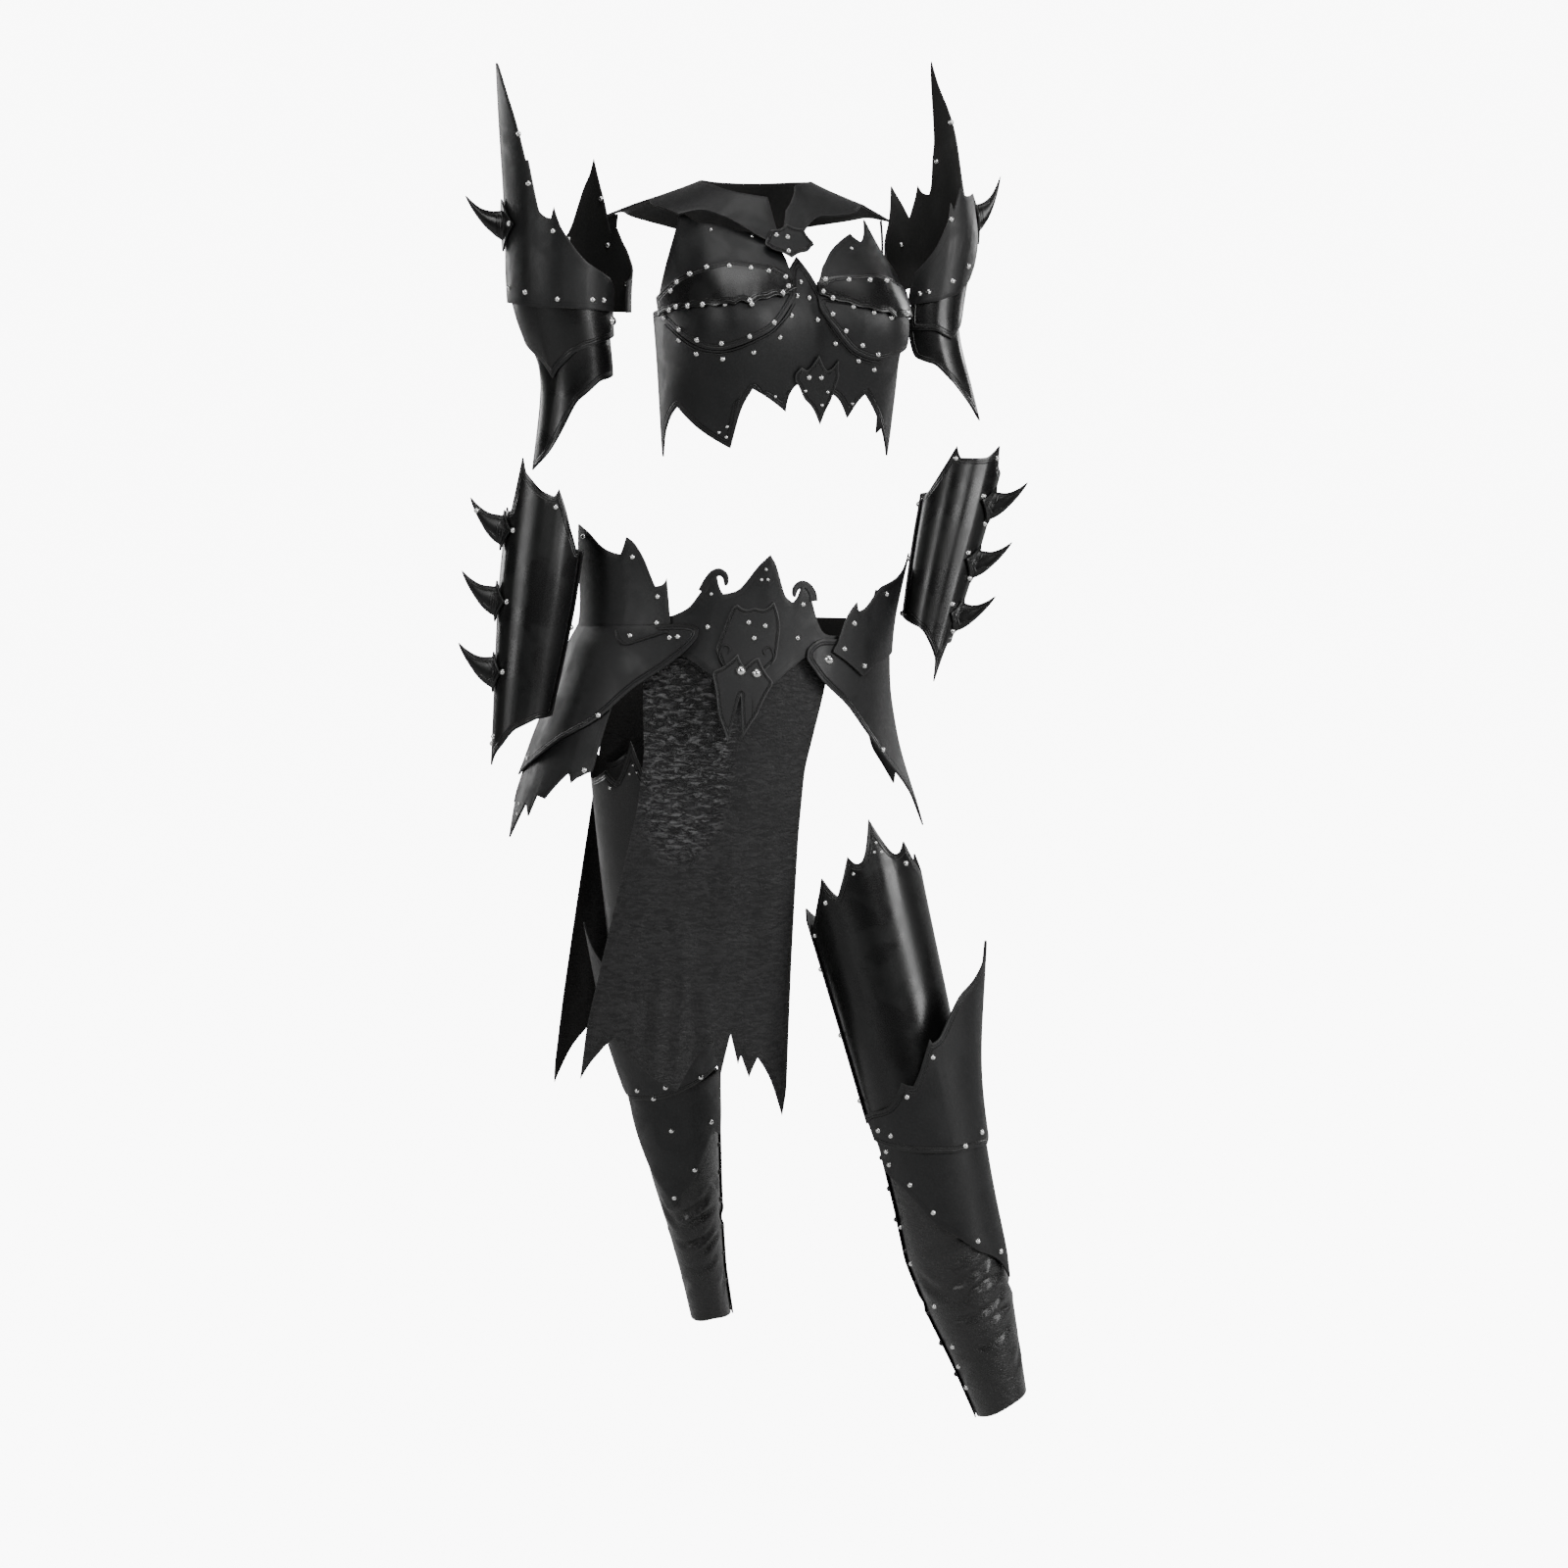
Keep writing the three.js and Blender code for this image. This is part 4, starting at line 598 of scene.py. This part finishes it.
def cut_leather(node, sharp):
    """A copy of the node's wall, merged into faces of four sides"""
    piece = bpy.data.objects.new(node + "_leather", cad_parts[node].data.copy())
    bpy.context.collection.objects.link(piece)
    piece.data.materials.clear()
    pick(piece)
    bpy.ops.object.mode_set(mode="EDIT")
    bpy.ops.mesh.select_mode(type="EDGE")
    bpy.ops.mesh.select_all(action="SELECT")
    bpy.ops.mesh.remove_doubles(threshold=0.02 * MM)
    bpy.ops.mesh.tris_convert_to_quads(face_threshold=math.radians(30), shape_threshold=math.radians(70))
    bpy.ops.mesh.select_all(action="DESELECT")
    bpy.ops.mesh.edges_select_sharp(sharpness=math.radians(sharp))
    bpy.ops.transform.edge_crease(value=1)
    bpy.ops.object.mode_set(mode="OBJECT")
    return piece


def split_long(piece, longest):
    """Halves the edges that are too long for the folds that the leather takes"""
    pick(piece)
    bpy.ops.object.mode_set(mode="EDIT")
    bpy.ops.mesh.select_mode(type="EDGE")
    bpy.ops.mesh.select_all(action="DESELECT")
    cage = bmesh.from_edit_mesh(piece.data)
    for edge in cage.edges:
        edge.select_set(edge.calc_length() > longest)
    bmesh.update_edit_mesh(piece.data)
    bpy.ops.mesh.subdivide(number_cuts=1)
    bpy.ops.object.mode_set(mode="OBJECT")


def smooth(piece, levels):
    modifier = piece.modifiers.new("smooth", "SUBSURF")
    modifier.levels = levels
    modifier.render_levels = levels
    apply_modifiers(piece)


def relax(piece, rounds):
    """Evens the face of the leather and leaves its cut edges where they are"""
    rim = rim_points(piece)
    face = piece.vertex_groups.new(name="face")
    for vertex in piece.data.vertices:
        away = rim.find(vertex.co)[2] / MM
        face.add([vertex.index], min(1.0, max(0.0, (away - 2) / 8)), "REPLACE")
    modifier = piece.modifiers.new("relax", "SMOOTH")
    modifier.factor = 0.5
    modifier.iterations = rounds
    modifier.vertex_group = "face"
    apply_modifiers(piece)
    piece.vertex_groups.clear()


def even_depth(piece, middle, spread, reach=15 * MM):
    """Lays the points near the middle on the slope of the leather round them, each side with its own"""
    rim = rim_points(piece)
    near = []
    for vertex in piece.data.vertices:
        right = (vertex.co.x - middle[0] * MM) / spread[0]
        up = (vertex.co.z - middle[1] * MM) / spread[1]
        off = math.hypot(right, up) / MM
        away = rim.find(vertex.co)[2] / MM
        near.append(min(1.0, max(0.0, 2 - 2 * off)) * min(1.0, max(0.0, (away - 1.5) / 6)))
    outer = [vertex.normal.y < 0 for vertex in piece.data.vertices]
    tree = KDTree(len(near))
    for vertex in piece.data.vertices:
        tree.insert((vertex.co.x, 1.0 if outer[vertex.index] else 0.0, vertex.co.z), vertex.index)
    tree.balance()
    for _ in range(2):
        depth = [vertex.co.y for vertex in piece.data.vertices]
        for vertex in piece.data.vertices:
            if not near[vertex.index]:
                continue
            here = (vertex.co.x, 1.0 if outer[vertex.index] else 0.0, vertex.co.z)
            sums = [0.0] * 9
            for place, index, gap in tree.find_range(here, reach):
                weight = math.exp(-((gap / (0.5 * reach)) ** 2))
                right, up, deep = place[0] - here[0], place[2] - here[2], depth[index]
                terms = (1, right, up, right * right, right * up, up * up, deep, right * deep, up * deep)
                sums = [a + weight * b for a, b in zip(sums, terms)]
            n, r, u, rr, ru, uu, d, rd, ud = sums
            fit = Matrix(((n, r, u), (r, rr, ru), (u, ru, uu)))
            if abs(fit.determinant()) > 1e-12:
                level = fit.inverted() @ Vector((d, rd, ud))
                vertex.co.y += (level[0] - vertex.co.y) * near[vertex.index]


def skive(piece, core, top, reach, sink, thin):
    """Thins the leather toward its upper edge and lays that edge down on the piece beneath"""
    for vertex in piece.data.vertices:
        share = min(1.0, max(0.0, (vertex.co.z / MM - top + reach) / reach))
        away = outward(core, vertex.co)
        outer = min(1.0, max(0.0, 2 * vertex.normal.dot(away)))
        vertex.co -= away * share**2 * (3 - 2 * share) * (sink + thin * outer) * MM


CUT_EDGE = 1.1  # radians between two faces that meet at a cut edge


def in_valley(piece, point):
    """True in the steep valley between the cups, where the wall folds but has no cut edge"""
    across, up = front_map(point)
    return piece.name == "bodice_leather" and 4 < across < 68 and -232 < up < -128


def rim_points(piece):
    """Points along the cut edges of the leather"""
    cage = bmesh.new()
    cage.from_mesh(piece.data)
    points = []
    for edge in cage.edges:
        if edge.is_manifold and edge.calc_face_angle() > CUT_EDGE:
            first, second = (v.co.copy() for v in edge.verts)
            if not in_valley(piece, first):
                points += [first, (first + second) / 2]
    cage.free()
    tree = KDTree(len(points))
    for index, point in enumerate(points):
        tree.insert(point, index)
    tree.balance()
    return tree


def outward(core, point):
    low, high = (Vector(p) * MM for p in CORES[core])
    line = (high - low).normalized()
    away = point - low
    return (away - line * away.dot(line)).normalized()


def round_rims(piece, width):
    modifier = piece.modifiers.new("rim", "BEVEL")
    modifier.width = width
    modifier.segments = 2
    modifier.limit_method = "ANGLE"
    modifier.angle_limit = math.radians(50)
    modifier.use_clamp_overlap = True
    apply_modifiers(piece)


def mark(piece, rim, core):
    """Stores how far each point lies from the rim, and which side is the flesh side"""
    mesh = piece.data
    distance = mesh.attributes.new("rim", "FLOAT", "POINT")
    flesh = mesh.attributes.new("flesh", "FLOAT", "POINT")
    distance.data.foreach_set("value", [rim.find(v.co)[2] for v in mesh.vertices])
    outer = [core is None or v.normal.dot(outward(core, v.co)) > -0.25 for v in mesh.vertices]
    inside = [0.0 if out else 1.0 for out in outer]
    flesh.data.foreach_set("value", inside)


def crease(piece, rows, place, push):
    """Soft troughs, or ridges where deep is below 0: each runs between two points of the map"""
    for vertex in piece.data.vertices:
        a, b = place(vertex.co)
        total = 0.0
        for row in rows:
            (a1, b1), (a2, b2) = row["start"], row["end"]
            run = (a2 - a1) ** 2 + (b2 - b1) ** 2
            share = ((a - a1) * (a2 - a1) + (b - b1) * (b2 - b1)) / run
            if not -0.3 < share < 1.3:
                continue
            off = ((a - a1) * (b2 - b1) - (b - b1) * (a2 - a1)) / math.sqrt(run)
            bow = row.get("bow", 0.0) * 4 * share * (1 - share)
            spread = (off - bow) / row["wide"]
            if abs(spread) > 3:
                continue
            taper = math.exp(-((abs(share - 0.5) / 0.5) ** 4) * 1.6)
            trough = math.exp(-(spread**2)) - 0.35 * math.exp(-((abs(spread) - 1.7) ** 2) * 2)
            total += row["deep"] * taper * trough
        if total:
            vertex.co -= push(vertex.co) * total * MM


def front_map(point):
    return point.x / MM, point.z / MM


def wrap_map(core):
    """Round the limb from its front, to the wearer's left, and up, both in millimetres"""
    low, high = (Vector(p) * MM for p in CORES[core])
    line = (high - low).normalized()

    def place(point):
        away = point - low
        side = away - line * away.dot(line)
        turn = math.atan2(side.x, -side.y)
        return turn * 45, away.dot(line) / MM

    return place


def shade(piece, finish, core=None, bevel=0.45 * MM, sharp=32):
    """Rounds the rims, stores the rim distance and gives the piece its finish"""
    rim = rim_points(piece)
    round_rims(piece, bevel)
    mark(piece, rim, core)
    piece.data.materials.append(FINISHES[finish])
    pick(piece)
    bpy.ops.object.shade_smooth_by_angle(angle=math.radians(sharp))


def crease_rows(*rows):
    """Each crease: where it starts and ends on its map, its width, its depth and its bow, in millimetres"""
    return [dict(zip(("start", "end", "wide", "deep", "bow"), row)) for row in rows]


LEGGING_CREASES = crease_rows(
    ((-34, 150), (30, 172), 5.0, 3.6, 6),
    ((-14, 132), (40, 148), 4.2, 3.2, -5),
    ((-30, 114), (30, 126), 4.6, 3.4, 6),
    ((0, 98), (48, 112), 4.0, 2.6, -4),
    ((-52, 166), (-16, 138), 6.0, 2.8, 5),
    ((34, 182), (60, 160), 5.0, 2.6, -4),
    ((-20, 80), (34, 92), 5.0, 2.0, 5),
    ((30, 44), (66, 68), 6.0, 2.0, 4),
    ((-62, 40), (-22, 56), 7.0, 1.8, -4),
    ((-36, 194), (18, 208), 6.0, 2.0, 4),
    ((58, 140), (94, 118), 6.0, 2.6, 4),
    ((-104, 112), (-66, 132), 6.0, 2.6, -4),
    ((96, 84), (134, 106), 7.0, 2.2, 4),
    ((-136, 92), (-98, 76), 7.0, 2.2, 3),
)
FRONT_FOLDS = crease_rows(
    ((-103, -990), (-88, -820), 8, 3.4, 3),
    ((-122, -1000), (-112, -860), 7, 2.8, -2),
    ((-72, -985), (-66, -870), 9, 2.6, 2),
    ((-30, -985), (-36, -850), 12, 2.2, -3),
    ((14, -975), (6, -820), 12, 2.0, 3),
    ((-86, -560), (-40, -548), 5, 1.0, 3),
    ((-90, -590), (-52, -582), 5, 1.0, -2),
    ((-92, -628), (-38, -612), 6, 1.1, 3),
    ((-94, -668), (-46, -660), 6, 0.9, -3),
)
BACK_FOLDS = crease_rows(
    ((-168, -985), (-150, -760), 12, 4.0, 4),
    ((-118, -980), (-112, -720), 14, 3.4, -4),
    ((-62, -985), (-66, -790), 12, 4.2, 3),
    ((-8, -975), (-22, -700), 15, 3.2, 4),
    ((52, -960), (34, -780), 11, 3.6, -3),
    ((-140, -640), (-60, -622), 8, 1.4, 4),
    ((-40, -690), (30, -674), 8, 1.2, -4),
)

SOFT_EDGE = 26 * MM  # longest edge before the leather is smoothed, soft and stiff
STIFF_EDGE = 45 * MM
made = {}
for name, row in PIECES.items():
    piece = cut_leather(name, 60)
    if row["finish"] in ("soft", "pebbled"):
        split_long(piece, SOFT_EDGE)
        split_long(piece, SOFT_EDGE)
        smooth(piece, 2)
    else:
        split_long(piece, STIFF_EDGE)
        smooth(piece, 2)
        relax(piece, 24 if name in ("bodice", "collar") else 8)
    if name == "bodice":
        even_depth(piece, (36, -186), (34, 78))
    if name == "tasset_r":
        skive(piece, "trunk", -477, 24, 2.3, 1.6)
    if name.startswith("legging"):
        push = lambda p, c=row["core"]: outward(c, p)
        crease(piece, LEGGING_CREASES, wrap_map(row["core"]), push)
    if name == "loincloth_front":
        crease(piece, FRONT_FOLDS, front_map, lambda p: Vector((0, -1, 0)))
    if name == "loincloth_back":
        crease(piece, BACK_FOLDS, front_map, lambda p: Vector((0, 1, 0)))
    finish = "crest" if name in CRESTS else "tooled" if name in TOOLED else row["finish"]
    shade(piece, finish, row["core"])
    made[name] = piece
# The right tasset's upper edge is skived, so its points are stored as far from any rim
plain = made["tasset_r"].data
for vertex in plain.vertices:
    if vertex.co.z > -0.494 and vertex.co.x < -0.106:
        plain.attributes["rim"].data[vertex.index].value = 0.03
for name in HORNS:
    piece = cut_leather(name, 62)
    smooth(piece, 2)
    shade(piece, "waxed", bevel=0.3 * MM, sharp=45)
    made[name] = piece


def dome(name, wide, high):
    """A domed rivet head with a thin skirt, standing at the origin with its back at 0"""
    bpy.ops.object.select_all(action="DESELECT")
    bpy.ops.mesh.primitive_uv_sphere_add(segments=14, ring_count=10, radius=wide / 2, location=(0, 0, 0))
    head = bpy.context.object
    head.name = name
    bpy.ops.object.mode_set(mode="EDIT")
    bpy.ops.mesh.select_all(action="SELECT")
    bpy.ops.mesh.bisect(plane_co=(0, 0, 0.12 * wide), plane_no=(0, 0, 1), clear_inner=True, use_fill=True)
    bpy.ops.mesh.select_all(action="SELECT")
    bpy.ops.transform.translate(value=(0, 0, -0.12 * wide))
    bpy.ops.transform.resize(value=(1, 1, high / (0.38 * wide)))
    bpy.ops.object.mode_set(mode="OBJECT")
    bpy.ops.object.shade_smooth_by_angle(angle=math.radians(50))
    return head


SIDES = {"front": (0, 1, 0), "back": (0, -1, 0), "left": (-1, 0, 0), "right": (1, 0, 0)}


def face_tree(piece):
    return BVHTree.FromPolygons(
        [v.co for v in piece.data.vertices], [tuple(f.vertices) for f in piece.data.polygons]
    )


def seat(tree, across, up, side="front"):
    """The place and direction of the leather's face, seen from one side of the wearer"""
    place = Vector((across * MM, 0, up * MM))
    if side in ("left", "right"):
        place = Vector((0, across * MM, up * MM))
    way = Vector(SIDES[side])
    return tree.ray_cast(place - way * 2, way)[:2]


def curve_through(places, steps=6):
    """Smooths a run of points, each a tuple of one length"""
    ends = [places[0], *places, places[-1]]
    run = []
    for a, b, c, d in zip(ends, ends[1:], ends[2:], ends[3:]):
        for k in range(steps):
            t = k / steps
            run.append(
                tuple(
                    0.5
                    * (
                        2 * q
                        + (r - p) * t
                        + (2 * p - 5 * q + 4 * r - u) * t**2
                        + (3 * q - p - 3 * r + u) * t**3
                    )
                    for p, q, r, u in zip(a, b, c, d)
                )
            )
    return [*run, tuple(places[-1])]


def cord(name, points, radii):
    """A round cord through the points, drawn out point by point and given its thickness"""
    bpy.ops.object.select_all(action="DESELECT")
    bpy.ops.mesh.primitive_plane_add(size=MM, location=points[0])
    bpy.ops.object.transform_apply(location=True, rotation=True, scale=True)
    bpy.ops.object.mode_set(mode="EDIT")
    bpy.ops.mesh.select_mode(type="VERT")
    bpy.ops.mesh.select_all(action="SELECT")
    bpy.ops.mesh.merge(type="CENTER")
    for here, there in zip(points, points[1:]):
        bpy.ops.mesh.extrude_region_move(TRANSFORM_OT_translate={"value": tuple(there - here)})
    bpy.ops.object.mode_set(mode="OBJECT")
    bpy.ops.object.convert(target="CURVE")
    run = bpy.context.object
    run.name = name
    run.data.bevel_depth = MM
    run.data.bevel_resolution = 2
    run.data.use_fill_caps = True
    order = KDTree(len(points))
    for index, point in enumerate(points):
        order.insert(point, index)
    order.balance()
    for point in run.data.splines[0].points:
        point.radius = radii[order.find(point.co.to_3d())[1]]
    bpy.ops.object.convert(target="MESH")
    bpy.ops.object.shade_smooth_by_angle(angle=math.radians(50))
    return bpy.context.object


def cord_on(piece, places, radius, lift=0.3):
    """A cord laid along a piece's face, thinning towards its two ends"""
    tree = face_tree(piece)
    points = []
    for across, up in places:
        spot, normal = seat(tree, across, up)
        if spot is not None:
            points.append(spot + normal * lift * MM)
    last = len(points) - 1
    radii = [radius * min(1.0, 0.35 + 4 * min(k, last - k) / last) for k in range(last + 1)]
    return cord("trim", points, radii)


def edge_round(piece, middle, start, end, steps, inset=0.0):
    """Where the leather ends in each direction from its middle, seen from the front"""
    tree = face_tree(piece)
    places = []
    for k in range(steps + 1):
        turn = math.radians(start + (end - start) * k / steps)
        reach = 2.0
        while seat(tree, middle[0] + reach * math.cos(turn), middle[1] + reach * math.sin(turn))[0]:
            reach += 0.5
        reach = max(reach - inset, 1.0)
        places.append((middle[0] + reach * math.cos(turn), middle[1] + reach * math.sin(turn)))
    return places


def join_up(name, parts, material):
    bpy.ops.object.select_all(action="DESELECT")
    for part in parts:
        part.select_set(True)
    bpy.context.view_layer.objects.active = parts[0]
    if len(parts) > 1:
        bpy.ops.object.join()
    joined = bpy.context.object
    joined.name = name
    joined.data.name = name
    joined.data.materials.clear()
    joined.data.materials.append(material)
    return joined


def rivet_row(piece, places, head, side="front"):
    """One head at each place, standing out of the leather's face"""
    tree = face_tree(piece)
    heads = []
    for across, up in places:
        spot, normal = seat(tree, across, up, side)
        if spot is None:  # just past the rim
            spot, normal = tree.find_nearest(Vector((across * MM, -0.2, up * MM)))[:2]
        mesh = head.data.copy()
        turn = normal.to_track_quat("Z", "Y").to_matrix().to_4x4()
        mesh.transform(Matrix.Translation(spot - normal * 0.2 * MM) @ turn)
        made_head = bpy.data.objects.new("head", mesh)
        bpy.context.collection.objects.link(made_head)
        heads.append(made_head)
    return heads


tiny_head = dome("tiny_head", 4.6 * MM, 2.2 * MM)
small_head = dome("small_head", 6.8 * MM, 3.2 * MM)
large_head = dome("large_head", 12.0 * MM, 5.4 * MM)
REGIONS = {
    "shoulder": "rivets_shoulders",
    "horn": "rivets_bracers",
    "bracer": "rivets_bracers",
    "belt": "rivets_belt",
    "hip": "rivets_belt",
    "tasset": "rivets_belt",
    "plaque": "rivets_belt",
    "thigh": "rivets_legs",
    "knee": "rivets_legs",
    "shin": "rivets_legs",
    "legging": "rivets_legs",
}
regions = {}
for table, head in ((TINY_RIVETS, tiny_head), (RIVETS, small_head), (LARGE_RIVETS, large_head)):
    for name, places in table.items():
        region = REGIONS.get(name.split("_")[0], "rivets_bodice")
        regions.setdefault(region, []).extend(rivet_row(made[name], places, head))
for side, table in (("back", BACK_RIVETS), ("right", RIGHT_RIVETS), ("left", LEFT_RIVETS)):
    for name, places in table.items():
        region = REGIONS.get(name.split("_")[0], "rivets_bodice")
        regions.setdefault(region, []).extend(rivet_row(made[name], places, small_head, side))
rivets = [join_up(region, heads, STEEL) for region, heads in regions.items()]
studs = []
for side, table in (("right", RIGHT_STUDS), ("left", LEFT_STUDS)):
    for name, places in table.items():
        studs += rivet_row(made[name], places, small_head, side)
rivets.append(join_up("closing_studs", studs, BLACKENED))
for head in (tiny_head, small_head, large_head):
    bpy.data.objects.remove(head)

# Welts round the cups: one along the edge of the cup and a finer one outside it
welts = []
for cup, middle, start, end in (
    ("cup_lower_r", (-25, -145), 8, -172),
    ("cup_lower_l", (118, -148), 188, 292),
):
    places = curve_through(edge_round(made[cup], middle, start, end, 26, inset=-0.6), 2)
    outside = [(middle[0] + (a - middle[0]) * 1.055, middle[1] + (b - middle[1]) * 1.075) for a, b in places]
    welts.append(cord_on(made["bodice"], places, 1.5, lift=1.3))
    welts.append(cord_on(made["bodice"], outside, 1.0, lift=0.3))
# Rolled ridge where the right hip plate runs into its tasset
ridge = curve_through([(-150, -483), (-146, -493), (-138, -497), (-118, -491), (-96, -484), (-90, -486)])
hip_ridge = cord_on(made["tasset_r"], ridge, 1.9, lift=0.2)
# Scrolls on the upper plaque, keels on the lower one
borders = []
for row in (
    [(-30, -522), (-37, -510), (-33, -498), (-26, -500), (-28, -507)],
    [(14, -524), (21, -512), (17, -500), (10, -503), (12, -509)],
):
    borders.append(cord_on(made["plaque_upper"], curve_through(row), 1.2, lift=0.1))
for row in (
    [(-16, -552), (-17, -572), (-16, -592)],
    [(-1, -552), (-1, -572), (-2, -592)],
):
    borders.append(cord_on(made["plaque_lower"], curve_through(row), 0.9, lift=0.0))
# Curled tips of the belt's two hooks: flat horns of leather that grow out of the plate
curls = []
belt_tree = face_tree(made["belt_front"])
CURL_SINK = 1.1 * MM  # how deep a curl's middle lies in the plate
for row, stem in (
    (
        [(-55, -441), (-50, -431), (-44, -422.5), (-37.5, -419.5), (-31.5, -423), (-30, -430), (-31, -434)],
        (-45, -430),
    ),
    (
        [(64, -452), (63, -444), (58, -436), (51.5, -433.5), (45.5, -437), (43.5, -443), (44.5, -447)],
        (56, -444),
    ),
):
    spot, normal = seat(belt_tree, *stem)
    points = []
    for across, up in curve_through(row):
        rise = ((across * MM - spot.x) * normal.x + (up * MM - spot.z) * normal.z) / normal.y
        points.append(Vector((across * MM, spot.y - rise, up * MM)) - normal * CURL_SINK)
    last = len(points) - 1
    horn = cord("curl", points, [5.4 * (1 - k / last) ** 0.45 + 0.3 for k in range(last + 1)])
    for vertex in horn.data.vertices:
        off = (vertex.co - spot + normal * CURL_SINK).dot(normal)
        vertex.co -= normal * off * (1 - min(1.0, CURL_SINK / max(abs(off), CURL_SINK)))
    curls.append(horn)
trims = [
    join_up("cup_welts", welts, FINISHES["plate"]),
    join_up("hip_ridge", [hip_ridge], FINISHES["plate"]),
    join_up("plaque_lines", borders, FINISHES["plate"]),
    join_up("belt_curls", curls, FINISHES["plate"]),
]
for piece in trims:
    distance = piece.data.attributes.new("rim", "FLOAT", "POINT")
    distance.data.foreach_set("value", [1.0] * len(piece.data.vertices))

for name, piece in made.items():
    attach(piece, "root")
    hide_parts(name)
for piece in rivets:
    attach(piece, "root")
for piece in trims:
    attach(piece, "root")

# Pale studio sweep: a floor that curves up into the wall behind
FLOOR = -1.483
PAPER_GLOW = 9.0  # how bright the paper and the air are to the camera
bpy.ops.object.select_all(action="DESELECT")
bpy.ops.mesh.primitive_plane_add(size=1, location=(0, 0, FLOOR))
sweep = bpy.context.object
sweep.name = "studio_sweep"
bpy.ops.transform.resize(value=(16, 9, 1))
bpy.ops.object.transform_apply(location=True, rotation=True, scale=True)
bpy.ops.object.mode_set(mode="EDIT")
bpy.ops.mesh.select_mode(type="EDGE")
bpy.ops.mesh.select_all(action="DESELECT")
cage = bmesh.from_edit_mesh(sweep.data)
for edge in cage.edges:
    edge.select_set(all(v.co.y > 4 for v in edge.verts))
bmesh.update_edit_mesh(sweep.data)
bpy.ops.mesh.extrude_region_move(TRANSFORM_OT_translate={"value": (0, 0, 9)})
bpy.ops.mesh.select_all(action="DESELECT")
cage = bmesh.from_edit_mesh(sweep.data)
for edge in cage.edges:
    edge.select_set(all(v.co.y > 4 and v.co.z < 0 for v in edge.verts))
bmesh.update_edit_mesh(sweep.data)
bpy.ops.mesh.bevel(offset=2.2, segments=16)
bpy.ops.object.mode_set(mode="OBJECT")
bpy.ops.object.shade_smooth()
paper = bpy.data.materials.new("studio_paper")
paper.use_nodes = True
paper_shader = paper.node_tree.nodes["Principled BSDF"]
paper_shader.inputs["Base Color"].default_value = (0.5, 0.5, 0.5, 1)
paper_shader.inputs["Roughness"].default_value = 0.9
paper_shader.inputs["Emission Color"].default_value = (1, 1, 1, 1)
seen = paper.node_tree.nodes.new("ShaderNodeLightPath").outputs["Is Camera Ray"]
glow = ramp(paper.node_tree, seen, 0.0, 1.0, 0.1, PAPER_GLOW)
paper.node_tree.links.new(glow, paper_shader.inputs["Emission Strength"])
sweep.data.materials.append(paper)

# Soft studio light: three boxes in front, one overhead and two behind
SOFTBOXES = [
    {"name": "left_box", "at": (-2.7, -2.3, 0.6), "wide": 0.7, "tall": 2.4, "power": 50},
    {"name": "right_box", "at": (3.2, -1.9, 0.7), "wide": 1.0, "tall": 2.4, "power": 115},
    {"name": "front_box", "at": (0.9, -3.5, 1.4), "wide": 0.8, "tall": 1.0, "power": 40},
    {"name": "top_box", "at": (0.0, -0.6, 2.6), "wide": 2.4, "tall": 1.2, "power": 40},
    {"name": "back_left_box", "at": (2.3, 2.6, 0.9), "wide": 1.0, "tall": 2.2, "power": 60},
    {"name": "back_right_box", "at": (-2.5, 2.4, 0.6), "wide": 0.8, "tall": 2.2, "power": 45},
]
for box in SOFTBOXES:
    spot = Vector(box["at"])
    bpy.ops.object.light_add(type="AREA", location=spot)
    lamp = bpy.context.object
    lamp.name = box["name"]
    lamp.data.shape = "RECTANGLE"
    lamp.data.size = box["wide"]
    lamp.data.size_y = box["tall"]
    lamp.data.energy = box["power"]
    aim = Vector((0, 0, -0.55)) - spot
    lamp.rotation_euler = aim.to_track_quat("-Z", "Y").to_euler()
world = bpy.data.worlds.new("studio")
world.use_nodes = True
air = world.node_tree.nodes["Background"]
air.inputs["Color"].default_value = (1, 1, 1, 1)
seen = world.node_tree.nodes.new("ShaderNodeLightPath").outputs["Is Camera Ray"]
haze = ramp(world.node_tree, seen, 0.0, 1.0, 0.05, PAPER_GLOW)
world.node_tree.links.new(haze, air.inputs["Strength"])
bpy.context.scene.world = world

bpy.ops.object.camera_add(location=(0.032, -3.33, -0.283), rotation=(math.radians(83.5), 0, 0))
camera = bpy.context.object
camera.data.lens = 68.56
camera.data.sensor_width = 36
bpy.context.scene.camera = camera
